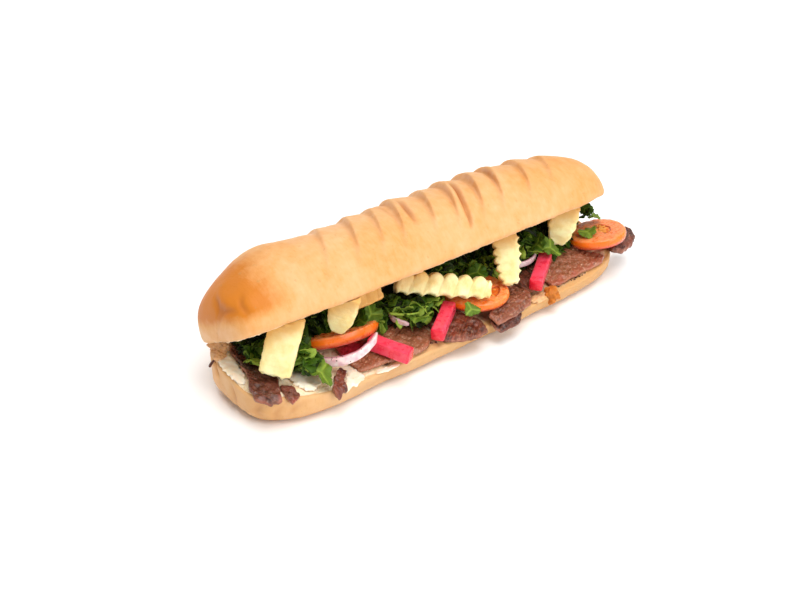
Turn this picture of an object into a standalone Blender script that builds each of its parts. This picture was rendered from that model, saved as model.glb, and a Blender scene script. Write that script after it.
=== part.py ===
"""A long submarine roll, cut open along its front and filled with shawarma beef, chopped parsley,
tomato, red onion, pickled turnip and crinkle-cut fries.

The roll lies along X with its hinge at +Y and its open side at -Y. Its flat underside is at
Z = 0, and the origin is below its middle. Sizes are in millimetres until a mesh is made.
"""

import math

import bmesh
import bpy
import numpy as np
from mathutils import Vector
from mathutils.bvhtree import BVHTree

MM = 0.001
GAP = 0.4  # air between pieces that lie on each other

# The base of the roll: a superellipse seen from above, with a soft lower edge and a cut face on top
BASE_HALF_LENGTH = 132.0
BASE_HALF_WIDTH = 36.1
PLAN_POWER = 4.35
BASE_EDGE_IN = 10.0
BASE_EDGE_UP = 11.0
RIM_HEIGHT = 11.8
RIM_RISE_LEFT = 5.0
RIM_RISE_RIGHT = 1.5
RIM_ROUNDING = 1.4
BULGE = 3.0
BULGE_AT = -100.0
BULGE_REACH = 22.0

# The lid: a dome that turns up about the hinge line at the back
LID_HALF_LENGTH = 130.8
LID_HALF_WIDTH = 38.9
LID_TAPER = 0.028
LID_HEIGHT = 36.2
LID_SHIFT = -2.6
LID_SECTION_POWER = 2.1
LID_PLAN_POWER = 4.5
LID_END_POWER = 4.25
LID_SWELL = 5.0
LID_SWELL_AT = -95.0
LID_SWELL_REACH = 18.5
LID_LIP = 3.2
LID_TILT = math.radians(28.4)
HINGE_Y = 32.0
HINGE_Z = 25.7
HINGE_RADIUS = 7.0
HINGE_HALF_LENGTH = 102.0

# Folds in the crust across the lid: where each one starts along the roll, and how high it stands
FOLDS_AT = (-62.0, -43.0, -27.0, -13.0, 8.0, 24.0, 42.0, 57.0, 78.0, 97.0)
FOLD_HEIGHTS = (1.2, 1.7, 1.6, 2.3, 2.1, 2.7, 2.9, 2.5, 2.1, 1.6)
FOLD_RISE = 2.4
FOLD_FADE = 10.0

# Fillings
MEAT_LAYER = 3.6
HEAP_LEAVES = 24
HEAP_SEED = 11

# Each slice of meat: its corners seen from above, how far its front is lifted over the bread, how
# steeply it droops past the rim, and its thickness
MEAT = (
    (
        (
            (-121, 17), (-123, 4), (-125.5, -10), (-129.5, -16), (-131, -25.5), (-125.5, -31),
            (-119.8, -33.5), (-117.2, -26), (-107, -10), (-107, 16),
        ),
        0, 0.2, 3.0,
    ),
    (((-115, -21.5), (-117.6, -31.5), (-115.5, -35.5), (-110.4, -34), (-108.5, -26.5)), 0, 0.3, 2.6),
    (((-79.5, -24), (-77.6, -28), (-86, -38.5), (-92.5, -41), (-93.5, -37.5), (-87, -29.6)), 0, 0.5, 3.0),
    (
        ((-72, 12), (-72.5, -31.5), (-54, -33.5), (-36, -36), (-28, -35), (-18.8, -28), (-18, 12)),
        0, 0.1, 3.0,
    ),
    (((-16.6, 12), (-17, -36.6), (-8, -40.5), (1, -41.8), (10.7, -41), (12.6, -34), (-2, -4)), 0, 0.08, 3.0),
    (((15.8, -35.5), (15.2, -40), (18, -42.6), (33, -42.2), (37.5, -38.5), (38, -34.8)), 0, 0.24, 2.6),
    (
        ((14, -36), (15.5, -42.4), (30, -42), (44.7, -39.6), (50, -33), (49.8, 5), (43, 2), (34, -27)),
        3.6, 0.1, 3.0,
    ),
    (((51.3, 8), (51.3, -24), (55, -30), (62.5, -27.5), (66.2, -18), (66.3, 8)), 0, 0.3, 3.0),
    (
        ((67.6, 10), (68.5, -31), (75, -32.5), (92, -31), (111.6, -31.2), (118.2, -27.5), (96, 2)),
        0, 0.2, 3.0,
    ),
    (
        ((124, -13), (124, -27), (130, -30), (141, -28.5), (149, -24), (152.5, -16), (149, -11.5)),
        0, 0.08, 4.4,
    ),
)

# Each tomato slice: centre of its underside, radius, thickness, heading, backward tilt and lift of
# its right side in degrees, and how far behind its centre it is cut off, as a share of the radius
TOMATO = (
    ((-66.5, -0.5, 19.8), 25.5, 6.0, -16.0, 20.0, 3.0, -0.42),
    ((20.5, -18.5, 20.4), 19.0, 5.0, -20.0, 1.0, 0.0, 1.0),
    ((120.4, -18.2, 23.9), 17.0, 5.4, -17.0, 8.0, 8.0, 1.0),
)

# Each onion arc: centre, radius, band width, band height, first and last angle in degrees, and how
# much it climbs along X and along Y
ONION = (
    ((-69.1, -15.6, 26.4), 17.0, 3.2, 5.2, 182.0, 313.0, 0.3, -0.1),
    ((64.0, -3.0, 27.5), 13.0, 1.6, 3.4, 220.0, 335.0, 0.1, 0.1),
    ((-24.0, -17.0, 27.0), 13.0, 1.6, 3.4, 118.0, 222.0, 0.0, 0.0),
)

# Each stick of pickled turnip: back end, front end, and side of its square section
TURNIP = (
    ((-56.4, -20.6, 22.6), (-46.0, -42.5, 20.2), 7.6),
    ((-0.6, -20.5, 23.0), (-22.6, -36.2, 20.2), 7.6),
    ((78.5, -15.5, 24.6), (54.6, -32.0, 20.9), 7.8),
)

# Each fry: lower end, upper end, width, depth, wave height and wave length of its crinkles, and how
# far the lower end narrows
FRIES = (
    ((-116.0, -20.0, 26.2), (-103.0, -17.0, 56.0), 17.0, 7.0, 0.15, 7.5, 0.95),
    ((-77.2, -20.6, 36.8), (-72.6, -24.4, 60.0), 14.5, 7.5, 0.15, 7.5, 0.62),
    ((18.5, -32.8, 32.2), (-27.0, -4.5, 40.5), 12.0, 11.5, 1.3, 8.3, 0.85),
    ((36.6, -30.4, 27.6), (46.0, -12.5, 54.0), 14.5, 8.5, 0.7, 6.2, 0.6),
    ((89.5, -13.5, 28.6), (95.5, -13.5, 54.0), 16.0, 10.0, 0.9, 7.0, 0.85),
    ((-44.0, -14.0, 45.2), (-66.0, -13.5, 45.6), 8.5, 8.5, 0.8, 7.4, 0.8),
)

# Each loose leaf of parsley: centre, size, heading, pitch and roll in degrees
LOOSE_LEAVES = (
    ((-93.5, -29.5, 24.0), 10.5, -60.0, 16.0, -14.0),
    ((0.5, -37.5, 28.6), 6.5, -30.0, 20.0, 35.0),
    ((77.5, -20.0, 33.0), 8.0, -70.0, 30.0, 10.0),
    ((114.6, -17.8, 31.4), 8.5, 10.0, -8.0, -8.0),
    ((118.0, 2.0, 32.5), 8.0, 40.0, 35.0, 30.0),
)


def signed_power(value, power):
    """value ** power that keeps the sign of value."""
    return np.sign(value) * np.abs(value) ** power


def smooth_step(value):
    """0 below 0, 1 above 1, with a soft S between."""
    t = np.clip(value, 0.0, 1.0)
    return t * t * (3.0 - 2.0 * t)


def ripple(x, y, seed):
    """A gentle uneven pattern between about -1 and 1, the same for the same seed."""
    draw = np.random.default_rng(seed)
    total = 0.0
    for _ in range(4):
        turn, shift = draw.uniform(0.0, 2.0 * math.pi, 2)
        pace = draw.uniform(0.7, 1.6)
        total = total + np.sin(pace * (x * math.cos(turn) + y * math.sin(turn)) + shift)
    return total / 3.0


def plan_width(x, half_length, power):
    """Width of a superellipse at x as a share of its widest: 1 in the middle and 0 at both ends."""
    share = np.clip(np.abs(x) / half_length, 0.0, 1.0)
    return (1.0 - share**power) ** (1.0 / power)


def front_bulge(x):
    """How far the front of the base swells near its left end."""
    return BULGE * np.exp(-(((x - BULGE_AT) / BULGE_REACH) ** 2))


def rim_height(x):
    """Height of the front rim of the base, higher at both ends."""
    left = RIM_RISE_LEFT * smooth_step((-x - 60.0) / 60.0)
    right = RIM_RISE_RIGHT * smooth_step((x - 90.0) / 40.0)
    return RIM_HEIGHT + left + right


def cut_face(x, y):
    """Height of the cut face of the base, which climbs from the front rim to the hinge line."""
    rim = rim_height(x)
    return rim + (HINGE_Z - rim) * (y + BASE_HALF_WIDTH) / (HINGE_Y + BASE_HALF_WIDTH)


def under_lid(y):
    """Height of the cut face of the lid."""
    return HINGE_Z + (HINGE_Y - y) * math.tan(LID_TILT)


def past_rim(x, y):
    """Distance outside the plan of the base, negative inside it, near the edge."""
    reach = np.where(y < 0.0, BASE_HALF_WIDTH + front_bulge(x), BASE_HALF_WIDTH)
    along = np.abs(x) / BASE_HALF_LENGTH
    across = np.abs(y) / reach
    total = along**PLAN_POWER + across**PLAN_POWER + 1e-9
    scale = total ** (1.0 / PLAN_POWER)
    lean = total ** (1.0 / PLAN_POWER - 1.0)
    slope = np.hypot(
        lean * along ** (PLAN_POWER - 1.0) / BASE_HALF_LENGTH,
        lean * across ** (PLAN_POWER - 1.0) / reach,
    )
    return (scale - 1.0) / np.maximum(slope, 1e-4)


def drape(x, y, lift, droop):
    """Height at which a slice lies on the cut face and droops past the rim."""
    outside = np.clip(past_rim(x, y) - 0.5, 0.0, 5.5)
    raised = lift * smooth_step((-y - 20.0) / 14.0)
    return cut_face(x, y) + GAP + raised - droop * outside**1.5


def add_object(name, points, faces, colour, roughness):
    """Makes a closed mesh object from points in millimetres."""
    mesh = bpy.data.meshes.new(name)
    mesh.from_pydata([tuple(p) for p in np.asarray(points) * MM], [], faces)
    work = bmesh.new()
    work.from_mesh(mesh)
    bmesh.ops.remove_doubles(work, verts=work.verts, dist=1e-6)
    bmesh.ops.recalc_face_normals(work, faces=work.faces)
    work.to_mesh(mesh)
    work.free()
    mesh.shade_smooth()
    item = bpy.data.objects.new(name, mesh)
    bpy.context.scene.collection.objects.link(item)
    material = bpy.data.materials.get(colour[0]) or bpy.data.materials.new(colour[0])
    material.use_nodes = True
    shader = material.node_tree.nodes["Principled BSDF"]
    shader.inputs["Base Color"].default_value = (*colour[1], 1.0)
    shader.inputs["Roughness"].default_value = roughness
    shader.inputs["Metallic"].default_value = 0.0
    mesh.materials.append(material)
    return item


def skin_faces(rings, around, first_cap, last_cap):
    """Faces of a skin over rings of points, with a centre point after them for each cap."""
    faces = []
    for i in range(rings - 1):
        for k in range(around):
            nxt = (k + 1) % around
            low, high = i * around, (i + 1) * around
            faces.append((low + k, low + nxt, high + nxt, high + k))
    centre = rings * around
    for wanted, ring in ((first_cap, 0), (last_cap, rings - 1)):
        if wanted:
            for k in range(around):
                faces.append((ring * around + k, ring * around + (k + 1) % around, centre))
            centre += 1
    return faces


def skin(name, rings, colour, roughness, capped=True):
    """A closed skin over an array of rings (ring, point, xyz)."""
    count, around, _ = rings.shape
    points = rings.reshape(-1, 3)
    if capped:
        points = np.concatenate([points, [rings[0].mean(axis=0)], [rings[-1].mean(axis=0)]])
    faces = skin_faces(count, around, capped, capped)
    return add_object(name, points, faces, colour, roughness)


CRUST = ("crust", (0.84, 0.50, 0.23))
BEEF = ("beef", (0.18, 0.06, 0.035))
TOMATO_RED = ("tomato", (0.86, 0.20, 0.06))
ONION_PINK = ("onion", (0.80, 0.55, 0.56))
TURNIP_PINK = ("turnip", (0.90, 0.06, 0.12))
POTATO = ("potato", (0.92, 0.80, 0.42))
PARSLEY = ("parsley", (0.05, 0.12, 0.02))


def base_half():
    """The lower half: plan outlines stacked from the flat underside to the rim, each one set in by
    the soft edge at its height, and the sloping cut face on top. Its ends run out to a seam."""
    turn = np.radians([-90, -86, -80, -73, -66, -58, -50, -42, -34, -26, -17, -8.5, 0])
    turn = np.concatenate([turn, -turn[-2::-1]])
    side = np.array([0.0, 0.12, 0.3, 0.55, 0.85])
    rings = []
    for angle in turn:
        run = signed_power(math.sin(angle), 2.0 / PLAN_POWER)
        span = abs(math.cos(angle)) ** (2.0 / PLAN_POWER) if abs(math.cos(angle)) > 1e-9 else 0.0

        def outline(z, facing, inset):
            x = (BASE_HALF_LENGTH - inset) * run
            wide = BASE_HALF_WIDTH - inset + (front_bulge(x) if facing < 0 else 0.0)
            return (x, facing * wide * span, z)

        loop = []
        for facing in (-1, 1):
            x = BASE_HALF_LENGTH * run
            top = cut_face(x, facing * BASE_HALF_WIDTH * span)
            heights = np.append(side * BASE_EDGE_UP, [top - RIM_ROUNDING, top])
            rise = np.clip(1.0 - heights / BASE_EDGE_UP, 0.0, 1.0)
            insets = BASE_EDGE_IN * (1.0 - np.sqrt(1.0 - rise**2))
            insets[-1] += 0.8 * RIM_ROUNDING
            edge = [outline(z, facing, inset) for z, inset in zip(heights, insets)]
            loop += edge if facing < 0 else edge[::-1]
            if facing < 0:
                front = edge[-1]
                for share in (0.5, 0.0, -0.5):
                    loop.append((front[0], front[1] * share, cut_face(front[0], front[1] * share)))
        rings.append(loop)
    return skin("base_half", np.array(rings, float), CRUST, 0.6, capped=False)


def fold_relief(x):
    """Height of the crust's folds: a short steep rise, then a long fade."""
    total = np.zeros_like(x)
    for start, height in zip(FOLDS_AT, FOLD_HEIGHTS):
        t = x - start
        rise = smooth_step(t / FOLD_RISE)
        dip = -0.45 * np.exp(-((t + 1.0) / 3.0) ** 2)
        total += height * (rise * np.exp(-np.maximum(t - FOLD_RISE, 0.0) / FOLD_FADE) + dip)
    return total


def lid_point(x, y, z):
    """Turns a point of the closed lid up about the hinge line."""
    c, s = math.cos(LID_TILT), math.sin(LID_TILT)
    back = y - HINGE_Y
    return np.stack([x + LID_SHIFT, back * c + z * s + HINGE_Y, -back * s + z * c + HINGE_Z], -1)


def lid_half():
    """The upper half: a domed section carried along X, with a rounded lip round its cut face."""
    inner = np.arange(-106.0, 107.0, 4.0)
    ends = LID_HALF_LENGTH * plan_width(np.array([0.8, 0.62, 0.42, 0.2, 0.02]), 1.0, LID_PLAN_POWER)
    along = np.concatenate([-ends[::-1], inner, ends])
    angle = np.radians([0, 12, 26, 42, 58, 72, 84, 96, 108, 121, 136, 151, 166, 180])
    rings = []
    for x in along:
        taper = 1.0 - LID_TAPER * x / LID_HALF_LENGTH
        width = LID_HALF_WIDTH * taper * plan_width(x, LID_HALF_LENGTH, LID_PLAN_POWER)
        rise = plan_width(x, LID_HALF_LENGTH, LID_END_POWER)
        swell = LID_SWELL * math.exp(-(((x - LID_SWELL_AT) / LID_SWELL_REACH) ** 2))
        lip = LID_LIP * min(1.0, 1.6 * rise)
        y = width * signed_power(np.cos(angle), 2.0 / LID_SECTION_POWER)
        crown = (LID_HEIGHT + swell) * rise
        z = lip + (crown - lip) * signed_power(np.sin(angle), 2.0 / LID_SECTION_POWER)
        upper = smooth_step((z / LID_HEIGHT - 0.25) / 0.5) * rise
        z = z + upper * fold_relief(np.full_like(z, x + LID_SHIFT))
        step = np.radians([225, 270])
        lip_y = width - lip + lip * np.abs(np.cos(step))
        lip_z = lip + lip * np.sin(step)
        low_y = np.concatenate([-lip_y, [0.0], lip_y[::-1]])
        low_z = np.concatenate([lip_z, [0.0], lip_z[::-1]])
        rings.append(lid_point(np.full(19, x), np.append(y, low_y), np.append(z, low_z)))
    return skin("lid_half", np.array(rings), CRUST, 0.6)


def hinge_crumb():
    """The uncut bread at the back, which joins the halves: a round bar inside the fold."""
    around = np.linspace(0.0, 2.0 * math.pi, 12, endpoint=False)
    rings = []
    for x, size in ((-1.0, 0.35), (-0.97, 0.8), (-0.5, 1.0), (0.5, 1.0), (0.97, 0.8), (1.0, 0.35)):
        radius = HINGE_RADIUS * size
        y = HINGE_Y - 4.0 + radius * np.cos(around)
        z = HINGE_Z + 0.8 * radius * np.sin(around)
        rings.append(np.stack([np.full(12, x * HINGE_HALF_LENGTH), y, z], axis=-1))
    return skin("hinge_crumb", np.array(rings), CRUST, 0.6)


def apply_modifiers(item):
    """Replaces the object's mesh by the result of its modifiers."""
    graph = bpy.context.evaluated_depsgraph_get()
    mesh = bpy.data.meshes.new_from_object(item.evaluated_get(graph))
    item.modifiers.clear()
    item.data = mesh


def keep_largest_shell(item):
    """Removes loose scraps and sealed hollows, so that one closed shell is left."""
    work = bmesh.new()
    work.from_mesh(item.data)
    shells = []
    waiting = set(work.verts)
    while waiting:
        front = [waiting.pop()]
        shell = set(front)
        while front:
            for edge in front.pop().link_edges:
                for vert in edge.verts:
                    if vert in waiting:
                        waiting.remove(vert)
                        shell.add(vert)
                        front.append(vert)
        shells.append(shell)
    largest = max(shells, key=len)
    bmesh.ops.delete(work, geom=[v for v in work.verts if v not in largest], context="VERTS")
    work.to_mesh(item.data)
    work.free()


def combine(item, others, operation, solver):
    """Joins other closed objects into item, or takes them out of it, with one Boolean, and removes
    them."""
    group = bpy.data.collections.new("others")
    bpy.context.scene.collection.children.link(group)
    for other in others:
        group.objects.link(other)
    boolean = item.modifiers.new("combine", "BOOLEAN")
    boolean.operation = operation
    boolean.operand_type = "COLLECTION"
    boolean.collection = group
    boolean.solver = solver
    apply_modifiers(item)
    for other in others:
        bpy.data.objects.remove(other)
    bpy.data.collections.remove(group)
    keep_largest_shell(item)


def bread_roll():
    """The whole roll in one piece: base, lid and the bread between them at the back."""
    roll = base_half()
    combine(roll, [lid_half(), hinge_crumb()], "UNION", "EXACT")
    roll.name = "bread_roll"
    return roll


def pad(name, outline, levels, place, colour, roughness):
    """A closed pad. outline holds the points of its edge about its middle. levels lists how far out
    each ring of points lies and how high, from the middle of its underside to that of its top, and
    place turns plan points and a height into points in space."""
    shares, heights = np.array(levels).T
    u = shares[:, None] * outline[:, 0]
    v = shares[:, None] * outline[:, 1]
    height = np.repeat(heights[:, None], len(outline), axis=1)
    return skin(name, place(u, v, height), colour, roughness)


def along_outline(corners, steps):
    """Points at about equal steps along a closed outline, its corners among them."""
    corners = np.array(corners, float)
    sides = np.linalg.norm(np.roll(corners, -1, axis=0) - corners, axis=1)
    points = []
    for start, end, side in zip(corners, np.roll(corners, -1, axis=0), sides):
        count = max(1, round(steps * side / sides.sum()))
        points += [start + (end - start) * k / count for k in range(count)]
    return np.array(points)


def meat_slice(number, corners, lift, droop, thickness):
    """A thin slice of beef with ragged edges that lies on the cut face and droops past the rim."""
    edge = along_outline(corners, 18)
    middle = edge.mean(axis=0)
    outline = edge - middle
    ragged = ripple(edge[:, 0] / 2.0, edge[:, 1] / 2.0, 40 + number) - 0.6
    outline += 0.5 * ragged[:, None] * outline / np.linalg.norm(outline, axis=1, keepdims=True)

    def place(u, v, height):
        x, y = middle[0] + u, middle[1] + v
        step = 0.4
        z = drape(x, y, lift, droop)
        slope_x = (drape(x + step, y, lift, droop) - z) / step
        slope_y = (drape(x, y + step, lift, droop) - z) / step
        normal = np.stack([-slope_x, -slope_y, np.ones_like(z)], axis=-1)
        normal /= np.linalg.norm(normal, axis=-1, keepdims=True)
        grain = 1.0 + 0.12 * ripple(x / 4.0, y / 4.0, number)
        return np.stack([x, y, z], axis=-1) + normal * (height * grain)[..., None]

    low, top = 0.1, thickness - 0.1
    levels = (
        (0.05, 0.0), (0.6, 0.0), (0.96, low), (1.0, 0.5 * thickness),
        (0.96, top), (0.6, thickness), (0.05, thickness),
    )
    return pad(f"meat_slice_{number:02d}", outline, levels, place, BEEF, 0.55)


def tomato_slice(number, centre, radius, thickness, heading, tilt, lean, cut):
    """A round slice of tomato with a bulging skin, cut off straight at the back where it is hidden."""
    end = math.asin(cut)
    angle = np.linspace(math.pi - end, 2.0 * math.pi + end, 23)
    reach = radius * (1.0 + 0.02 * np.cos(3.0 * angle + number))
    outline = np.stack([reach * np.cos(angle), reach * np.sin(angle)], axis=-1)
    if cut == 1.0:
        outline = outline[:-1]
    else:
        chord = np.linspace(outline[-1], outline[0], 7)[1:-1]
        outline = np.concatenate([outline, chord])
    middle = outline.mean(axis=0)
    h, t, rise = math.radians(heading), math.radians(tilt), math.radians(lean)
    along = np.array([math.cos(h) * math.cos(rise), math.sin(h) * math.cos(rise), math.sin(rise)])
    back = np.array([-math.sin(h) * math.cos(t), math.cos(h) * math.cos(t), -math.sin(t)])
    up = np.cross(along, back)
    up /= np.linalg.norm(up)

    def place(u, v, height):
        side, depth = u + middle[0], v + middle[1]
        flat = side[..., None] * along + depth[..., None] * back
        return np.array(centre) + flat + height[..., None] * up

    half = 0.5 * thickness
    levels = ((0.05, 0.0), (0.96, 0.0), (1.0, half), (0.96, thickness), (0.05, thickness))
    name = f"tomato_slice_{number:02d}"
    return pad(name, outline - middle, levels, place, TOMATO_RED, 0.3)


def onion_ring(number, centre, radius, width, height, first, last, climb_x, climb_y):
    """Part of a ring of red onion: a band with a rounded section carried round an arc."""
    turn = np.radians(np.linspace(first, last, 15))
    around = np.linspace(0.0, 2.0 * math.pi, 8, endpoint=False)
    across = 0.5 * width * signed_power(np.cos(around), 0.6)
    rise = 0.5 * height * signed_power(np.sin(around), 0.6)
    thin = 1.0 - 0.55 * np.abs(np.linspace(-1.0, 1.0, 15)) ** 6
    reach = radius + thin[:, None] * across
    x = reach * np.cos(turn)[:, None]
    y = reach * np.sin(turn)[:, None]
    z = centre[2] + climb_x * x + climb_y * y + thin[:, None] * rise
    rings = np.stack([centre[0] + x, centre[1] + y, z], axis=-1)
    return skin(f"onion_ring_{number:02d}", rings, ONION_PINK, 0.35)


def cross_axes(start, end, facing):
    """Unit vectors along a piece, across it and out of its broad side, which turns to facing."""
    along = np.subtract(end, start)
    along = along / np.linalg.norm(along)
    out = np.array(facing) - along * np.dot(facing, along)
    out = out / np.linalg.norm(out)
    return along, np.cross(along, out), out


def stick(name, start, end, sections, facing, colour, roughness, power=6.0, around=16):
    """A bar with a rounded square section. sections lists how far along each ring is, its half
    width and its half depth."""
    along, across, out = cross_axes(start, end, facing)
    angle = np.linspace(0.0, 2.0 * math.pi, around, endpoint=False)
    u = signed_power(np.cos(angle), 2.0 / power)
    v = signed_power(np.sin(angle), 2.0 / power)
    rings = []
    for distance, half_width, half_depth in sections:
        centre = np.array(start) + along * distance
        rings.append(centre + np.outer(u * half_width, across) + np.outer(v * half_depth, out))
    return skin(name, np.array(rings), colour, roughness)


def turnip_stick(number, start, end, side):
    """A square stick of pickled turnip with slightly soft edges."""
    length = math.dist(start, end)
    half = 0.5 * side
    sections = [(0.0, 0.85 * half, 0.85 * half), (0.7, half, half)]
    sections += [(0.5 * length, 0.97 * half, half), (length - 0.7, half, half)]
    sections += [(length, 0.85 * half, 0.85 * half)]
    return stick(f"pickled_turnip_{number:02d}", start, end, sections, (0, 0, 1), TURNIP_PINK, 0.3)


def fry(number, start, end, width, depth, wave, pitch, narrow):
    """A crinkle-cut fry. Its four sides swell together at each crest, and its lower end narrows.
    Where it would reach the lid it is cut off along the lid's underside."""
    length = math.dist(start, end)
    steps = int(length / pitch * 4) if wave > 0.5 else int(length / 6.0)
    sections = [(0.0, 0.3 * width * narrow, 0.3 * depth)]
    for distance in np.linspace(0.09, 1.0, steps) * length:
        taper = narrow + (1.0 - narrow) * smooth_step(distance / (0.5 * length))
        swell = wave * (2.0 * abs(math.cos(math.pi * distance / pitch)) ** 0.8 - 1.0)
        sections.append((distance, 0.5 * width * taper + swell, 0.5 * depth * taper + swell))
    item = stick(
        f"fry_{number:02d}", start, end, sections, (-0.53, -0.66, 0.53), POTATO, 0.5, 5.0, 10
    )
    clear = 1.2 * GAP
    work = bmesh.new()
    work.from_mesh(item.data)
    normal = Vector((0.0, math.sin(LID_TILT), math.cos(LID_TILT)))
    point = Vector((0.0, HINGE_Y, HINGE_Z)) * MM - normal * clear * MM
    cut = bmesh.ops.bisect_plane(
        work, geom=work.verts[:] + work.edges[:] + work.faces[:], dist=1e-7,
        plane_co=point, plane_no=normal, clear_outer=True,
    )
    edges = [piece for piece in cut["geom_cut"] if isinstance(piece, bmesh.types.BMEdge)]
    if edges:
        bmesh.ops.contextual_create(work, geom=edges)
    bmesh.ops.recalc_face_normals(work, faces=work.faces)
    work.to_mesh(item.data)
    work.free()
    return item


def heap_front(x):
    """How far forward the foot of the parsley heap reaches."""
    centre = -17.5 * np.exp(-(((x + 22.0) / 26.0) ** 2))
    left = -22.0 * np.exp(-(((x + 96.0) / 11.0) ** 2))
    right = -10.0 * np.exp(-(((x - 70.0) / 40.0) ** 2))
    return np.minimum.reduce([centre, left, right]) - 2.0


def heap_core():
    """The packed body of the parsley heap, a low uneven ridge behind the other fillings."""
    along = np.linspace(-119.0, 119.0, 52)
    rings = []
    for i, x in enumerate(along):
        foot = float(heap_front(x))
        end = float(smooth_step((121.0 - abs(x)) / 14.0))
        crest = 32.0 + 1.6 * math.sin(0.21 * x) + 1.0 * math.sin(0.53 * x + 1.0)
        y = np.array([foot, foot + 2.0, foot + 7.0, 0.0, 6.0, 12.0, 15.0, 14.0, 0.0])
        y[3] = max(y[3], foot + 10.0)
        share = np.array([0.0, 0.55, 0.9, 1.0, 1.0, 0.95, 0.5, 0.0, 0.0])
        low = cut_face(x, y) + MEAT_LAYER + 2.0 * GAP + 3.6 * smooth_step((-y - 10.0) / 8.0)
        high = np.minimum(crest, under_lid(y) - 1.5)
        z = low + share * end * np.maximum(high - low, 0.8)
        z = z + 0.5 * share * ripple(x / 3.0, y / 3.0, 5)
        rings.append(np.stack([np.full(9, x), y, z], axis=-1))
        if i in (0, len(along) - 1):
            rings[-1][:, 2] = np.where(share > 0, low + 2.0 + share, low)
    return skin("parsley_heap", np.array(rings), PARSLEY, 0.5)


def leaf_mesh(size, draw):
    """Points and faces of a parsley leaf at the origin: three toothed lobes, thin and wavy, with
    both sides split alike."""
    steps = 10
    angle = np.linspace(0.0, 2.0 * math.pi, steps, endpoint=False)
    lobes = 0.62 + 0.38 * np.abs(np.cos(1.5 * angle)) ** 0.8
    teeth = np.where(np.arange(steps) % 2 == 0, 1.0, 0.8)
    radius = size * lobes * teeth * draw.uniform(0.9, 1.1, steps)
    x, y = radius * np.cos(angle), 0.85 * radius * np.sin(angle)
    wave = draw.uniform(0.06, 0.2)
    z = wave * size * np.cos(2.0 * angle + draw.uniform(0.0, 3.0)) + 0.1 * size * np.sin(3.0 * angle)
    half = 0.4
    top = np.stack([x, y, z + half], axis=-1)
    low = np.stack([x, y, z - half], axis=-1)
    points = np.concatenate([top, low, [(0.0, 0.0, half), (0.0, 0.0, -half)]])
    faces = []
    for k in range(steps):
        nxt = (k + 1) % steps
        faces.append((k, nxt, 2 * steps))
        faces.append((steps + nxt, steps + k, 2 * steps + 1))
        faces.append((k, steps + k, steps + nxt))
        faces.append((k, steps + nxt, nxt))
    return points, faces


def turned(points, heading, pitch, roll):
    """Points turned by roll about X, pitch about Y and heading about Z, in degrees."""
    a, b, c = (math.radians(v) for v in (heading, pitch, roll))
    about_x = np.array([[1, 0, 0], [0, math.cos(c), -math.sin(c)], [0, math.sin(c), math.cos(c)]])
    about_y = np.array([[math.cos(b), 0, math.sin(b)], [0, 1, 0], [-math.sin(b), 0, math.cos(b)]])
    about_z = np.array([[math.cos(a), -math.sin(a), 0], [math.sin(a), math.cos(a), 0], [0, 0, 1]])
    return points @ (about_z @ about_y @ about_x).T


def tree_of(points, faces):
    """A search tree over triangles in millimetres."""
    return BVHTree.FromPolygons([Vector(p) for p in points], faces)


def object_tree(item):
    """The search tree of an object's mesh."""
    points = [v.co / MM for v in item.data.vertices]
    return BVHTree.FromPolygons(points, [tuple(f.vertices) for f in item.data.polygons])


def clears(points, faces, trees):
    """Whether a small mesh keeps its distance from every tree."""
    own = tree_of(points, faces)
    for tree in trees:
        if own.overlap(tree):
            return False
        for p in points:
            if tree.find_nearest(Vector(p), GAP + 0.3)[0] is not None:
                return False
    return True


def carve(item, others):
    """Takes the other pieces out of item, each one grown by the gap between pieces."""
    grown = []
    for other in others:
        copy = other.copy()
        copy.data = other.data.copy()
        points = [v.co + v.normal * GAP * MM for v in copy.data.vertices]
        copy.data.vertices.foreach_set("co", np.array(points).ravel())
        grown.append(copy)
    combine(item, grown, "DIFFERENCE", "MANIFOLD")


def parsley_heap(neighbours):
    """The heap: its core with leaves of true size fused to its front and top. A leaf that would
    touch another filling or the bread is left out."""
    core = heap_core()
    carve(core, [item for item in neighbours if item.name.startswith(("fry", "onion", "tomato"))])
    core_tree = object_tree(core)
    trees = [object_tree(item) for item in neighbours]
    draw = np.random.default_rng(HEAP_SEED)
    leaves = []
    tries = 0
    while len(leaves) < HEAP_LEAVES and tries < 1500:
        tries += 1
        x = draw.uniform(-116.0, 116.0)
        y = float(heap_front(x)) + draw.uniform(0.0, 13.0)
        hit = core_tree.ray_cast(Vector((x, y, 60.0)), Vector((0.0, 0.0, -1.0)))[0]
        if hit is None:
            continue
        points, faces = leaf_mesh(draw.uniform(4.5, 8.0), draw)
        tilt = draw.uniform(-45.0, 45.0, 2)
        points = turned(points, draw.uniform(0.0, 360.0), tilt[0], tilt[1] + 25.0)
        points = points + np.array(hit) + np.array([0.0, 0.0, draw.uniform(-0.4, 1.4)])
        if not clears(points, faces, trees) or not tree_of(points, faces).overlap(core_tree):
            continue
        leaves.append(add_object(f"heap_leaf_{len(leaves):02d}", points, faces, PARSLEY, 0.5))
    combine(core, leaves, "UNION", "MANIFOLD")
    return core


def loose_leaf(number, centre, size, heading, pitch, roll):
    """One leaf of parsley that lies apart from the heap."""
    points, faces = leaf_mesh(size, np.random.default_rng(70 + number))
    points = turned(points, heading, pitch, roll) + np.array(centre)
    return add_object(f"parsley_leaf_{number:02d}", points, faces, PARSLEY, 0.5)


def main():
    for item in list(bpy.data.objects):
        bpy.data.objects.remove(item)
    pieces = [bread_roll()]
    makers = (
        (meat_slice, MEAT),
        (tomato_slice, TOMATO),
        (onion_ring, ONION),
        (turnip_stick, TURNIP),
        (fry, FRIES),
        (loose_leaf, LOOSE_LEAVES),
    )
    for make, rows in makers:
        pieces += [make(number, *row) for number, row in enumerate(rows, 1)]
    parsley_heap(pieces)


main()
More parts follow.
